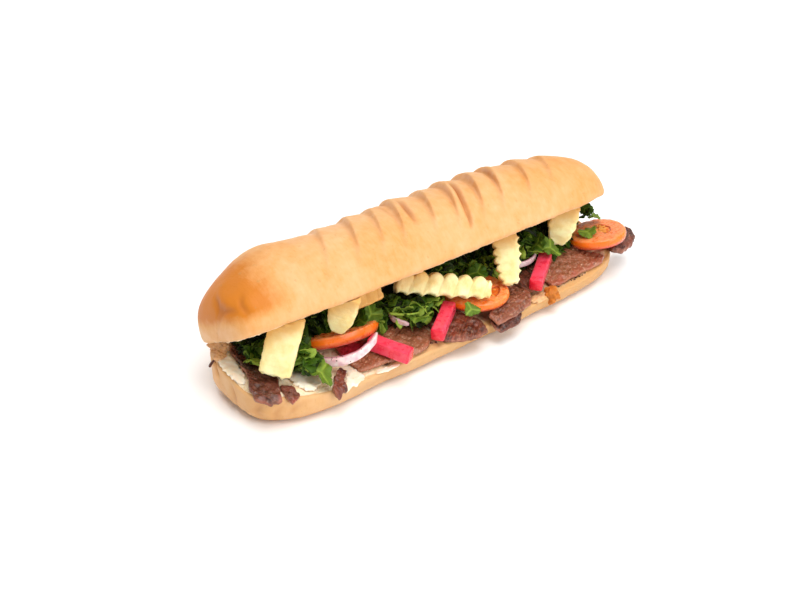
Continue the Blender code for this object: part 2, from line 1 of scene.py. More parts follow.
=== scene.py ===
# %% [markdown]
# A shawarma sandwich in a long soft roll. The roll is cut open along its front, and beef, parsley,
# tomato, red onion, pickled turnip and crinkle-cut fries show between its two halves. The packed
# solids say where each piece lies. Every piece is made again here at the fineness that the eye
# expects of food, from its solid's sizes or close to them, so that it fills the same space.

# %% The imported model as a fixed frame
import math

import bmesh
import bpy
import numpy as np
from mathutils import Matrix, Vector
from mathutils.bvhtree import BVHTree


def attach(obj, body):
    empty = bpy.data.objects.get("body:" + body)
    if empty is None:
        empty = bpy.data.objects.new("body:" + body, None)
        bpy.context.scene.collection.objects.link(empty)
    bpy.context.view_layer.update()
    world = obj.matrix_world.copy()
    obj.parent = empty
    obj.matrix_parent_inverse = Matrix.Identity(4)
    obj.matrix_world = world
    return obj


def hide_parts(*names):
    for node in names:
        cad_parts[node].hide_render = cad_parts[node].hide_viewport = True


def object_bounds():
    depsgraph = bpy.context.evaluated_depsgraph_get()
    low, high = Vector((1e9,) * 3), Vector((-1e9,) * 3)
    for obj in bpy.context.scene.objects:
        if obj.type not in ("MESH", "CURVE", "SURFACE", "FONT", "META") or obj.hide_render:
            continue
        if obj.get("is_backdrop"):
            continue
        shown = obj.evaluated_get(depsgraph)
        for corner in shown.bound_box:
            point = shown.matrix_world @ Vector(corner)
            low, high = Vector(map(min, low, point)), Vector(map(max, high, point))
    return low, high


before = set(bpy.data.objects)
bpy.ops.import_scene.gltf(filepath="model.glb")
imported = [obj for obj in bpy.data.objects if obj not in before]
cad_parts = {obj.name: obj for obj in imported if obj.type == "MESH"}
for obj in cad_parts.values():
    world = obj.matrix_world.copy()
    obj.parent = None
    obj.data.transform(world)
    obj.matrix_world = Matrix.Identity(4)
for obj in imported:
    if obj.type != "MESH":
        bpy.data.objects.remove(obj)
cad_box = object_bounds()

MM = 0.001
print("solids:", len(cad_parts), "box:", [round(v, 4) for corner in cad_box for v in corner])

# %% [markdown]
# Food is never smooth, so nearly every surface below gets an uneven relief. Adding a few plane
# waves that run in random directions gives a soft random height without storing any picture, and
# adding smaller copies of it gives roughness at several sizes, as on crust or on torn meat.

# %% Shape helpers


def signed_power(value, power):
    """|value| to the power, with the sign of value."""
    return np.sign(value) * np.abs(value) ** power


def smooth_step(value):
    """3 t^2 - 2 t^3 with t held between 0 and 1."""
    t = np.clip(value, 0.0, 1.0)
    return t * t * (3.0 - 2.0 * t)


def waves(points, size, seed, count=9):
    """Sum of sines along random directions, their wavelengths about size mm, divided by the root
    of their number, so that it mostly lies between -1 and 1."""
    draw = np.random.default_rng(seed)
    total = np.zeros(points.shape[:-1])
    for _ in range(count):
        way = draw.normal(size=3)
        way *= 2.0 * math.pi / (size * draw.uniform(0.65, 1.5) * np.linalg.norm(way))
        total += np.sin(points @ way + draw.uniform(0.0, 2.0 * math.pi))
    return total / math.sqrt(count)


def rough(points, size, seed, octaves=3):
    """waves() at size, size / 2, size / 4 and so on, each half as high as the one before."""
    return sum(0.5**k * waves(points, size / 2.0**k, seed + 31 * k) for k in range(octaves))


def unit(vectors):
    """Vectors divided by their lengths."""
    return vectors / np.maximum(np.linalg.norm(vectors, axis=-1, keepdims=True), 1e-9)


def on_plane(x, y):
    """Points (x, y, 0)."""
    x, y = np.broadcast_arrays(x, y)
    return np.stack([x, y, np.zeros(x.shape)], axis=-1)


def normals_of(grid):
    """Cross product of the two central differences of a grid of points (row, column, xyz) whose
    columns close on themselves."""
    down = np.gradient(grid, axis=0)
    across = 0.5 * (np.roll(grid, -1, axis=1) - np.roll(grid, 1, axis=1))
    return unit(np.cross(across, down))


probe = np.random.default_rng(1).uniform(0.0, 100.0, (2000, 3))
print("spread of waves():", round(float(waves(probe, 10.0, 1).std()), 2), "mm for a height of 1 mm")

# %% [markdown]
# A surface on a grid becomes a mesh in one way everywhere: quads between neighbouring rows and
# columns, a fan at each end that needs closing, doubles merged where a row shrinks to a point or
# a line, and normals turned outwards. Numbers that a material needs, such as how dark the crust
# is baked, go with the points as attributes.

# %% Mesh helpers
MERGE_DISTANCE = 2e-6  # metres, so that only points which coincide are merged


def quads(rows, columns):
    """Corner numbers of the quads of a grid whose columns close on themselves: each point with the
    next in its row and the two below them."""
    index = np.arange(rows * columns).reshape(rows, columns)
    index = np.concatenate([index, index[:, :1]], axis=1)
    corners = [index[:-1, :-1], index[:-1, 1:], index[1:, 1:], index[1:, :-1]]
    return np.stack(corners, axis=-1).reshape(-1, 4)


def add_piece(name, points, faces, material, replaced=(), paint=None):
    """A closed mesh object from points in mm, hung under the root; the solids it replaces are hidden."""
    mesh = bpy.data.meshes.new(name)
    mesh.from_pydata((np.asarray(points) * MM).tolist(), [], faces)
    for key, values in (paint or {}).items():
        layer = mesh.attributes.new(key, "FLOAT", "POINT")
        layer.data.foreach_set("value", np.asarray(values, np.float32).ravel())
    work = bmesh.new()
    work.from_mesh(mesh)
    bmesh.ops.remove_doubles(work, verts=work.verts, dist=MERGE_DISTANCE)
    bmesh.ops.recalc_face_normals(work, faces=work.faces)
    work.to_mesh(mesh)
    work.free()
    mesh.shade_smooth()
    item = bpy.data.objects.new(name, mesh)
    bpy.context.scene.collection.objects.link(item)
    mesh.materials.append(material)
    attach(item, "root")
    if replaced:
        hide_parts(*replaced)
    print(name, "faces:", len(mesh.polygons))


def add_surface(name, grid, material, replaced=(), paint=None, caps=False):
    """A piece from a grid whose columns close on themselves, with a fan at each end for caps."""
    rows, columns, _ = grid.shape
    points = grid.reshape(-1, 3)
    faces = quads(rows, columns).tolist()
    paint = {key: np.asarray(values).reshape(-1) for key, values in (paint or {}).items()}
    if caps:
        points = np.concatenate([points, [grid[0].mean(axis=0), grid[-1].mean(axis=0)]])
        ring = np.arange(columns)
        for row, centre in ((0, rows * columns), (rows - 1, rows * columns + 1)):
            fan = [row * columns + ring, row * columns + (ring + 1) % columns]
            faces += np.stack([*fan, np.full(columns, centre)], axis=-1).tolist()
        for key, values in paint.items():
            ends = [values[:columns].mean(), values[-columns:].mean()]
            paint[key] = np.concatenate([values, ends])
    add_piece(name, points, faces, material, replaced, paint)


print("a closed grid of 3 rows and 4 columns has", len(quads(3, 4)), "quads")

# %% [markdown]
# Colours are read off food as people name them, in sRGB hex, and one function makes them linear.
# One small function adds any shader node with its settings and links. Food is never one colour, so
# a tint is built up in layers, each laid over the ones before it by a pattern or by a number that
# the piece carries. A pattern's scale comes from a real size in millimetres: Object coordinates
# are in metres, so 1000 / size is the scale. A noise takes its place, scale, detail and roughness,
# and a map range takes a value, the range that it comes from and the range that it goes to.

# %% Material helpers


def colour(text):
    """Linear RGBA of an sRGB hex colour: c / 12.92 below 0.04045, else ((c + 0.055) / 1.055)^2.4."""
    value = np.array([int(text[k : k + 2], 16) for k in (1, 3, 5)]) / 255.0
    linear = np.where(value <= 0.04045, value / 12.92, ((value + 0.055) / 1.055) ** 2.4)
    return (*linear.tolist(), 1.0)


def per_metre(size_mm):
    """Scale of a pattern whose features are size_mm apart: 1000 / size."""
    return 1000.0 / size_mm


def node(tree, kind, inputs=(), output=None, **settings):
    """Adds a shader node, sets its properties, and sets or links its inputs, which are named in a
    dictionary or listed in the order in which the node shows them. It gives back one output: the
    named one, or else the first that is in use."""
    made = tree.nodes.new("ShaderNode" + kind)
    for key, value in settings.items():
        setattr(made, key, value)
    if not isinstance(inputs, dict):
        shown = [place for place, socket in enumerate(made.inputs) if socket.enabled]
        inputs = dict(zip(shown, inputs))
    for key, value in inputs.items():
        if isinstance(value, bpy.types.NodeSocket):
            tree.links.new(value, made.inputs[key])
        else:
            made.inputs[key].default_value = value
    return made.outputs[output] if output else next(s for s in made.outputs if s.enabled)


def food(name, settings, carried=()):
    """A new material with constants set on its Principled shader's sockets. It gives back the
    material, its node tree, Object coordinates, and the numbers that the points carry."""
    material = bpy.data.materials.new(name)
    material.use_nodes = True
    tree = material.node_tree
    for key, value in settings.items():
        tree.nodes["Principled BSDF"].inputs[key].default_value = value
    place = node(tree, "TexCoord", output="Object")
    numbers = [node(tree, "Attribute", output="Fac", attribute_name=key) for key in carried]
    return material, tree, place, numbers


def layered(tree, first, layers):
    """Colour first, with each further colour laid over the ones before it by its own factor."""
    tint = colour(first)
    for factor, over in layers:
        tint = node(tree, "Mix", (factor, tint, colour(over)), data_type="RGBA")
    return tint


def finish_food(material, tint, gloss, heights):
    """Links a colour, a roughness and a chain of bumps (height, depth in mm) into the shader."""
    tree = material.node_tree
    shader = tree.nodes["Principled BSDF"]
    tree.links.new(tint, shader.inputs["Base Color"])
    if gloss is not None:
        tree.links.new(gloss, shader.inputs["Roughness"])
    bumps = {}
    for height, depth in heights:
        bumps |= {"Height": height, "Distance": depth * MM, "Strength": 1.0}
        bumps["Normal"] = node(tree, "Bump", bumps)
    tree.links.new(bumps["Normal"], shader.inputs["Normal"])
    print(material.name, "nodes:", len(tree.nodes))


print("a mid grey, #808080, is", round(colour("#808080")[0], 3), "in linear light")

# %% [markdown]
# The roll is a soft white submarine roll. Its crust is baked thin, so it is pale gold where it is
# stretched and deeper orange where it browned first, at the ends. The crumb is cream and full of
# small holes. One material does both, because crust and crumb meet on one mesh: the attribute
# crumb says which is which, bake says how brown, and juice darkens the crumb under the filling.
# The folds, pinches and torn hollows are darker, partly deeper brown and partly painted shade; the
# front of the base is dulled to a greyer yellow by painted shade; and the small holes of the crumb
# are painted darker as shade.

# %% Baked bread
bread, tree, place, (bake, crease, crumb, juice, ochre) = food("baked_wheat_bread", {
    "IOR": 1.45, "Specular IOR Level": 0.3, "Subsurface Weight": 0.1,
    "Subsurface Radius": (1.0, 0.55, 0.25), "Subsurface Scale": 0.004,
}, ("bake", "crease", "crumb", "juice", "ochre"))
blotch = node(tree, "TexNoise", (place, per_metre(26.0), 3.0, 0.55))
mottle = node(tree, "TexNoise", (place, per_metre(5.0), 4.0, 0.6))
# The fine lines of a real crust are closer together, but 1.3 mm is as fine as a render shows
stretched = node(tree, "Mapping", {"Vector": place, "Scale": (1.0, 0.22, 0.22)})
skin_lines = node(tree, "TexNoise", (stretched, per_metre(1.3), 3.0, 0.65))
brown = bake
for pattern, reach in ((blotch, 0.16), (mottle, 0.11), (skin_lines, -0.07)):
    uneven = node(tree, "MapRange", (pattern, 0.3, 0.7, -reach, reach))
    brown = node(tree, "Math", (brown, uneven), operation="ADD")
speck = node(tree, "MapRange", (node(tree, "TexNoise", (place, per_metre(2.6), 1.0, 0.55)), 0.7, 0.76))
crust_tint = layered(tree, "#eab987", (
    (node(tree, "MapRange", (brown, 0.0, 0.5)), "#df9f5c"),
    (node(tree, "MapRange", (brown, 0.5, 1.0)), "#cf7a20"),
    # Painted shade: the front of the base is dulled to a greyer yellow.
    (ochre, "#c9a572"),
    # Darker in folds, pinches and torn hollows: partly deeper brown, partly painted shade.
    (crease, "#ad6228"),
    (node(tree, "Math", (speck, 0.35), operation="MULTIPLY"), "#b98a4a"),
))
hole = node(tree, "MapRange", (node(tree, "TexVoronoi", (place, per_metre(2.4))), 0.08, 0.45))
# The crumb is painted darker in its small holes: painted shade.
crumb_tint = layered(tree, "#ead0a2", (
    (hole, "#f8e6c8"),
    (node(tree, "MapRange", (mottle, 0.35, 0.7, 0.0, 0.5)), "#ecca96"),
    (juice, "#a8703c"),
))
finish_food(
    bread,
    node(tree, "Mix", (crumb, crust_tint, crumb_tint), data_type="RGBA"),
    node(tree, "MapRange", (crumb, 0.0, 1.0, 0.48, 0.85)),
    (
        (node(tree, "Math", (crumb, hole), operation="MULTIPLY"), 0.3),
        (skin_lines, 0.14),
        (node(tree, "TexNoise", (place, per_metre(1.2), 3.0, 0.55)), 0.06),
        (node(tree, "TexNoise", (place, per_metre(9.0), 2.0, 0.55)), 0.25),
    ),
)

# %% [markdown]
# The base of the roll is a superellipse seen from above: a rectangle with very round corners. Its
# section goes from the middle of the flat underside round a soft lower edge, up the crust to the
# rim, and in over the sloping cut face. A profile carried along the length draws all of it in one
# skin, so crust and crumb join without a seam.

# %% Sizes of the base, in millimetres
BASE_HALF_LENGTH = 132.0
BASE_HALF_WIDTH = 36.1
PLAN_POWER = 4.35
BASE_EDGE_IN = 10.0
BASE_EDGE_UP = 11.0
RIM_ROUNDING = 1.4
HINGE_Y = 32.0
HINGE_Z = 25.7
LID_TILT = math.radians(28.4)
SHOULDER = 0.93  # share of the full width where the stations change from even steps to the tip's
TIP_STATIONS = 56
# Points along half of the base's section: lower edge, wall, rim, floor and cut face
EDGE_POINTS, WALL_POINTS, RIM_POINTS, FLOOR_POINTS, FACE_POINTS = 18, 14, 6, 9, 40


def plan_width(x, half_length, power):
    """(1 - |x / L|^p)^(1 / p): the width of a superellipse as a share of its widest."""
    share = np.clip(np.abs(x) / half_length, 0.0, 1.0)
    return (1.0 - share**power) ** (1.0 / power)


def stations(half_length, power, spacing):
    """Places along a superellipse, evenly spaced in the middle and by width round both tips, and
    the width share at each."""
    wide = np.linspace(0.0, SHOULDER, TIP_STATIONS)[:-1]
    tip = half_length * (1.0 - wide**power) ** (1.0 / power)
    reach = half_length * (1.0 - SHOULDER**power) ** (1.0 / power)
    middle = np.linspace(-reach, reach, int(2.0 * reach / spacing))
    x = np.concatenate([-tip, middle, tip[::-1]])
    return x, np.concatenate([wide, plan_width(middle, half_length, power), wide[::-1]])


def front_bulge(x):
    """A bell 3 mm high at x = -100: the front of the base swells near its left end."""
    return 3.0 * np.exp(-(((x + 100.0) / 22.0) ** 2))


def rim_height(x):
    """11.8 mm, and up to 5 mm more towards the left end and 1.5 mm more towards the right."""
    return 11.8 + 5.0 * smooth_step((-x - 60.0) / 60.0) + 1.5 * smooth_step((x - 90.0) / 40.0)


def cut_face(x, y):
    """Straight slope from the front rim up to the hinge line."""
    rim = rim_height(x)
    return rim + (HINGE_Z - rim) * (y + BASE_HALF_WIDTH) / (HINGE_Y + BASE_HALF_WIDTH)


def under_lid(y):
    """Height of the lid's cut face, which rises from the hinge line at the lid's tilt."""
    return HINGE_Z + (HINGE_Y - y) * math.tan(LID_TILT)


def past_rim(x, y):
    """How far a point lies outside the superellipse of the base: its scale less one, divided by
    the slope of the scale."""
    reach = np.where(y < 0.0, BASE_HALF_WIDTH + front_bulge(x), BASE_HALF_WIDTH)
    along = np.abs(x) / BASE_HALF_LENGTH
    across = np.abs(y) / reach
    total = along**PLAN_POWER + across**PLAN_POWER + 1e-9
    lean = total ** (1.0 / PLAN_POWER - 1.0)
    slope = np.hypot(lean * along ** (PLAN_POWER - 1.0) / BASE_HALF_LENGTH,
                     lean * across ** (PLAN_POWER - 1.0) / reach)
    return (total ** (1.0 / PLAN_POWER) - 1.0) / np.maximum(slope, 1e-4)


print("rim at both ends:", rim_height(-BASE_HALF_LENGTH), "and", rim_height(BASE_HALF_LENGTH), "mm high")

# %% [markdown]
# Pinches in the crust are lines drawn on the unrolled surface. Each point's distance to the line
# gives a narrow valley, deepest in the middle of the line and fading to nothing at its ends.

# %% Creases


def valley(u, v, line, width):
    """exp(-(d / width)^2) times a taper, where d is the distance in the (u, v) plane to a chain of
    points, and the taper falls from 1 in the middle of the chain to 0 at its ends."""
    line = np.asarray(line, float)
    best = np.full(np.shape(u), 1e9)
    along = np.zeros(np.shape(u))
    lengths = np.linalg.norm(np.diff(line, axis=0), axis=1)
    done = 0.0
    for start, end, length in zip(line[:-1], line[1:], lengths):
        t = ((u - start[0]) * (end[0] - start[0]) + (v - start[1]) * (end[1] - start[1])) / length**2
        t = np.clip(t, 0.0, 1.0)
        gap = np.hypot(u - start[0] - t * (end[0] - start[0]), v - start[1] - t * (end[1] - start[1]))
        near = gap < best
        along = np.where(near, (done + t * length) / lengths.sum(), along)
        best = np.where(near, gap, best)
        done += length
    return np.exp(-((best / width) ** 2)) * np.sin(math.pi * np.clip(along, 0.02, 0.98)) ** 0.6


beside = valley(1.0, 5.0, ((0.0, 0.0), (0.0, 10.0)), 1.6)
print("1 mm beside its line a valley 1.6 mm wide has", round(float(beside), 2), "of its depth")

# %% [markdown]
# The base is pinched at its left end, and one long shallow groove runs along its front. It is
# palest on the left half of its front, and brownest at its right end and along its foot.

# %% The base
# Pinches near the left end of the base. On the front a line's points are (x, height), and on the
# left end (y, height); then depth and width
BASE_CREASES = (
    ("front", ((-119.0, 15.0), (-121.5, 9.0), (-119.5, 3.5)), 0.8, 1.6),
    ("front", ((-127.5, 16.0), (-129.0, 10.0), (-127.0, 5.0)), 0.9, 1.5),
    ("front", ((-108.0, 14.5), (-113.0, 11.0), (-117.0, 5.0)), 0.7, 1.6),
    ("front", ((-40.0, 10.5), (-62.0, 8.0), (-84.0, 6.5)), 0.5, 3.0),
    ("end", ((15.0, 25.0), (12.0, 21.0), (9.5, 16.5)), 2.2, 1.1),
    ("end", ((-3.0, 19.0), (-5.5, 12.0), (-4.0, 6.0)), 1.0, 1.6),
)


def base_bake(x, z):
    """How brown the base is: 0.42, up to 0.28 more towards the right end and 0.34 less left of the
    middle, with 0.55 more at its foot and 0.12 more on the left end."""
    bake = 0.42 + 0.28 * smooth_step((x - 40.0) / 70.0) - 0.34 * smooth_step(-x / 60.0)
    return bake + 0.55 * (1.0 - smooth_step(z / 6.0)) + 0.12 * smooth_step((-x - 104.0) / 20.0)


def base_grid():
    """Points (station, round the section, xyz) of the base and the numbers that they carry. Half
    a section is floor, lower edge, wall, rim and cut face, and the other half mirrors it."""
    x, wide = stations(BASE_HALF_LENGTH, PLAN_POWER, 0.75)
    run, span = (x / BASE_HALF_LENGTH)[:, None], wide[:, None]
    along_x, along_y, up_z = np.eye(3)
    halves = []
    for facing in (-1.0, 1.0):
        reach = BASE_HALF_WIDTH + (front_bulge(x)[:, None] if facing < 0 else 0.0)
        top = cut_face(x[:, None], facing * BASE_HALF_WIDTH * span)
        low = np.radians(np.linspace(0.0, 78.0, EDGE_POINTS))
        edge = BASE_EDGE_UP * (1.0 - np.cos(low))[None]
        upright = np.linspace(0.0, 1.0, WALL_POINTS)[None, 1:]
        wall = edge[:, -1:] + upright * (top - RIM_ROUNDING - edge[:, -1:])
        turn = np.radians(np.linspace(0.0, 90.0, RIM_POINTS))[None, 1:]
        rim = top - RIM_ROUNDING + RIM_ROUNDING * np.sin(turn)
        z = np.concatenate([np.repeat(edge, len(x), 0), wall, rim], axis=1)
        rise = np.clip(1.0 - z / BASE_EDGE_UP, 0.0, 1.0)
        inset = BASE_EDGE_IN * (1.0 - np.sqrt(1.0 - rise**2))
        inset[:, 1 - RIM_POINTS :] += RIM_ROUNDING * (1.0 - np.cos(turn))
        side = np.stack([(BASE_HALF_LENGTH - inset) * run, facing * (reach - inset) * span, z], -1)
        share = np.linspace(0.0, 1.0, FLOOR_POINTS)[None, :-1, None]
        floor = side[:, :1] * (along_x + up_z) + share * side[:, :1] * along_y
        share = np.linspace(1.0, 0.0, FACE_POINTS)[None, 1:, None]
        face = side[:, -1:] * along_x + share * side[:, -1:] * along_y
        face = face + cut_face(face[..., 0], face[..., 1])[..., None] * up_z
        halves.append(np.concatenate([floor, side, face], axis=1))
    grid = np.concatenate([halves[0], halves[1][:, ::-1]], axis=1)
    count = halves[0].shape[1]
    on_face = np.zeros(grid.shape[1])
    on_face[count - FACE_POINTS + 1 : count + FACE_POINTS - 1] = 1.0
    fade = smooth_step(wide / 0.12)[:, None]
    above = smooth_step(grid[..., 2] / 4.0)
    normal = normals_of(grid)
    normal *= np.sign((normal * (grid - np.array([0.0, 0.0, 9.0]))).sum(-1).mean())
    border = 0.7 + 2.6 * smooth_step((grid[..., 0] + 60.0) / 25.0) + 0.7 * rough(grid, 9.0, 3)
    crumb = on_face[None] * smooth_step((-past_rim(grid[..., 0], grid[..., 1]) - border) / 1.4)
    juice = 0.85 * smooth_step((grid[..., 0] + 66.0) / 14.0) * (0.8 + 0.2 * waves(grid, 12.0, 2))
    lift = 0.35 * waves(grid, 34.0, 4) + 0.12 * waves(grid, 8.0, 5)
    lift = lift + crumb * (0.45 * rough(grid, 6.0, 6) - 0.1)
    crease = np.zeros(grid.shape[:2])
    crust = 1.0 - on_face[None]
    sides = {
        "front": (grid[..., 0], smooth_step(-grid[..., 1] / 3.0) * crust),
        "end": (grid[..., 1], smooth_step((-grid[..., 0] - 122.0) / 5.0) * crust),
    }
    # Each pinch is also painted darker in its valley, a painted shade.
    for side, line, depth, width in BASE_CREASES:
        dent = valley(sides[side][0], grid[..., 2], line, width) * sides[side][1]
        lift = lift - depth * dent
        crease = np.maximum(crease, dent * min(1.0, 0.35 * depth))
    grid = grid + normal * (lift * fade * above)[..., None]
    bake = base_bake(grid[..., 0], grid[..., 2])
    # Painted shade that dulls the front half of the base, less towards its left end.
    ochre = 0.35 + 0.25 * smooth_step((grid[..., 0] + 112.0) / 50.0)
    ochre = ochre * smooth_step((20.0 - grid[..., 1]) / 20.0)
    return grid, {"crumb": crumb, "bake": bake, "crease": crease, "juice": juice, "ochre": ochre}


grid, paint = base_grid()
add_surface("roll_base", grid, bread, ("bread_roll",), paint)

# %% [markdown]
# The lid is the upper half, folded back about its hinge by the fillings. Its section is a dome
# over a flat cut face, joined by a rounded lip at the front. Where the crust was folded back it
# has wrinkled: each fold starts at a dip, painted darker as shade, rises in two or three
# millimetres and fades over ten, and it leans towards the left end as it comes down the front.
# The arc length from the crown places the lean, so the folds stay even over the curve. At the
# back the crust goes on down over the base, where the bread was never cut.

# %% Sizes of the lid, in millimetres
LID_HALF_LENGTH = 130.8
LID_HALF_WIDTH = 38.9
LID_HEIGHT = 36.2
LID_SHIFT = -2.6
LID_LIP = 3.2
LID_PLAN_POWER = 4.5
LID_RISE_POWER = 4.25
DOME_POWER = 2.1
DOME_POINTS, LIP_POINTS, FLAT_POINTS = 128, 10, 36
# The lid's back edge goes on down over the base: how many points of the dome and of the cut face
# follow it, and how far down
SKIRT_OUTER, SKIRT_INNER, SKIRT_DROP = 26, 8, 8.5
FOLDS_AT = (-62.0, -43.0, -27.0, -13.0, 8.0, 24.0, 42.0, 57.0, 78.0, 97.0)
FOLD_HEIGHTS = (1.2, 1.7, 1.6, 2.3, 2.1, 2.7, 2.9, 2.5, 2.1, 1.6)
FOLD_LEAN = 0.42
OFF_DOME = 400.0  # an arc length that no point of the dome reaches, for all the other points
# Deep pinches: (x, y before the lid is turned) along each, depth and width
LID_CREASES = (
    (((27.0, -9.0), (24.3, -13.8), (20.2, -22.9), (15.4, -31.5), (12.0, -36.5)), 2.1, 1.25),
    (((15.4, -33.0), (13.0, -36.0), (10.8, -37.8)), 1.3, 0.9),
    (((-11.0, -10.0), (-12.3, -14.3), (-15.7, -24.1), (-18.0, -31.5)), 1.5, 1.5),
    (((57.5, 3.0), (56.0, -3.0), (48.3, -19.4), (44.6, -28.2)), 0.9, 1.2),
    (((46.0, 4.0), (40.7, -6.7), (36.0, -19.0)), 0.5, 1.4),
    (((-21.0, -3.0), (-23.4, -19.3), (-25.6, -26.1)), 0.5, 1.6),
    (((-129.0, -6.0), (-131.5, -18.0), (-131.5, -26.0), (-129.0, -34.0)), 1.2, 1.3),
    (((-124.0, -28.0), (-126.0, -33.0), (-125.0, -37.5)), 0.8, 1.2),
)


def lid_point(x, y, z):
    """A point of the closed lid turned up about the hinge line: (b cos + z sin, z cos - b sin)
    where b is its distance behind the hinge."""
    c, s = math.cos(LID_TILT), math.sin(LID_TILT)
    back = y - HINGE_Y
    return np.stack([x + LID_SHIFT, back * c + z * s + HINGE_Y, -back * s + z * c + HINGE_Z], -1)


def fold_relief(x, spread):
    """Sum over the folds of a soft step up that decays as exp(-t / 10), with a dip before it. The
    step is as much wider as spread says. It also gives a painted shade for each dip, darkest
    just before the step."""
    total = np.zeros_like(x)
    dark = np.zeros_like(x)
    for start, height in zip(FOLDS_AT, FOLD_HEIGHTS):
        t = x - start
        rise = smooth_step(t / (2.4 * spread) + 0.5 - 0.5 / spread)
        dip = np.exp(-(((t + 1.0) / (3.0 * spread)) ** 2))
        total = total + height * (rise * np.exp(-np.maximum(t - 2.4, 0.0) / 10.0) - 0.45 * dip)
        dark = dark + 0.4 * height / spread * np.exp(-(((t + 0.4) / (1.6 * spread)) ** 2))
    return total, np.clip(dark, 0.0, 1.0)


def upper_share(z):
    """1 high on the lid and 0 low down, where the crust stayed paler."""
    return smooth_step((z - 44.0) / 18.0)


def lid_grid():
    """Points (station, round the section, xyz) of the lid and the numbers that they carry. A
    section is the dome |y / w|^2.1 + |z / h|^2.1 = 1, a quarter round lip, the flat cut face and
    the lip at the back."""
    x, _ = stations(LID_HALF_LENGTH, LID_PLAN_POWER, 0.68)
    x = x[:, None]
    wide = plan_width(x, LID_HALF_LENGTH, LID_PLAN_POWER)
    rise = plan_width(x, LID_HALF_LENGTH, LID_RISE_POWER)
    width = LID_HALF_WIDTH * (1.0 - 0.028 * x / LID_HALF_LENGTH) * wide
    crown = (LID_HEIGHT + 5.0 * np.exp(-(((x + 95.0) / 18.5) ** 2))) * rise
    lip = LID_LIP * np.minimum(1.0, 1.6 * rise)
    angle = np.radians(np.linspace(0.0, 180.0, DOME_POINTS))[None]
    dome_y = signed_power(np.cos(angle), 2.0 / DOME_POWER)
    dome_z = np.sin(angle).clip(0.0) ** (2.0 / DOME_POWER)
    y = width * dome_y
    z = lip + (crown - lip) * dome_z
    arc_y, arc_z = LID_HALF_WIDTH * dome_y[0], LID_HEIGHT * dome_z[0]
    steps = np.hypot(np.diff(arc_y), np.diff(arc_z))
    arc = np.concatenate([[0.0], np.cumsum(steps)])
    arc = arc - np.interp(90.0, np.degrees(angle[0]), arc)
    lean = FOLD_LEAN * np.where(arc > 0.0, arc, 0.35 * arc)[None]
    upper = smooth_step((z / LID_HEIGHT - 0.25) / 0.6) * rise
    relief, dark = fold_relief(x + LID_SHIFT + lean, 1.0 + 1.6 * smooth_step(-arc / 30.0)[None])
    wander = waves(on_plane(x, y), 45.0, 21)
    z = z + upper * relief * (1.0 + 0.25 * wander)
    turn = np.radians(np.linspace(180.0, 270.0, LIP_POINTS))[None, 1:]
    under = np.linspace(-1.0, 1.0, FLAT_POINTS)[None, 1:-1]
    flat = (width - lip) * under
    lip_y, lip_z = width - lip + lip * np.abs(np.cos(turn)), lip + lip * np.sin(turn)
    low_y = np.concatenate([-lip_y, flat, lip_y[:, ::-1]], axis=1)
    low_z = np.concatenate([lip_z, np.zeros(flat.shape), lip_z[:, ::-1]], axis=1)
    y, z = np.concatenate([y, low_y], axis=1), np.concatenate([z, low_z], axis=1)
    grid = lid_point(np.repeat(x, y.shape[1], axis=1), y, z)
    domed, lipped = angle.shape[1], turn.shape[1]
    count = y.shape[1]
    pad = np.zeros((len(x), count - domed))
    # High on the lid the dips of the folds are painted darker: painted shade.
    crease = np.concatenate([upper * dark * 0.3, pad], axis=1)
    plan = grid[..., 0]
    outer_arc = np.concatenate([arc, np.full(count - domed, OFF_DOME)])[None]
    outer_arc = np.broadcast_to(outer_arc, plan.shape)
    lift = 0.3 * waves(grid, 30.0, 22) + 0.1 * waves(grid, 9.0, 23)
    # Each pinch is also painted darker in its valley, a painted shade.
    for line, depth, size in LID_CREASES:
        path = [(px, np.interp(-py, -arc_y, arc)) for px, py in line]
        dent = valley(plan, outer_arc, path, size)
        shoulder = valley(plan - 2.2, outer_arc, path, 2.6)
        lift = lift - depth * dent + 0.35 * depth * shoulder
        crease = np.maximum(crease, dent * min(1.0, 0.55 * depth))
    # Crumb on the flat cut face, and half crumb on the last three points of the front lip.
    cut = np.zeros(count)
    cut[domed + lipped : count - lipped] = 1.0
    cut[domed + lipped - 3 : domed + lipped] = 0.5
    crumb = np.clip(cut[None] * (1.0 + 0.4 * waves(grid, 6.0, 25)), 0.0, 1.0)
    lift = lift + crumb * 0.35 * rough(grid, 6.0, 26)
    fade = smooth_step(wide / 0.12)
    normal = normals_of(grid)
    normal *= np.sign((normal * (grid - np.array([0.0, 14.0, 40.0]))).sum(-1).mean())
    grid = grid + normal * (lift * fade)[..., None]
    # The back edge runs on down the outside of the base and turns in behind it.
    skirt = smooth_step((121.0 - np.abs(plan)) / 16.0)
    weight = np.zeros(count)
    weight[:SKIRT_OUTER] = 1.0 - smooth_step(np.arange(SKIRT_OUTER) / (SKIRT_OUTER - 1.0))
    inner = lipped + SKIRT_INNER
    weight[-inner:] = smooth_step(np.arange(inner) / (inner - 2.0))
    wall = BASE_HALF_WIDTH * plan_width(plan, BASE_HALF_LENGTH, PLAN_POWER)
    pull = weight[None] * skirt
    outer = np.zeros(count)
    outer[:SKIRT_OUTER] = 1.0
    target_y = wall + 0.5 * outer[None] * (1.0 - weight[None]) - 0.5 - 2.5 * (1.0 - outer[None])
    grid[..., 1] += pull * (target_y - grid[..., 1])
    grid[..., 2] -= SKIRT_DROP * pull
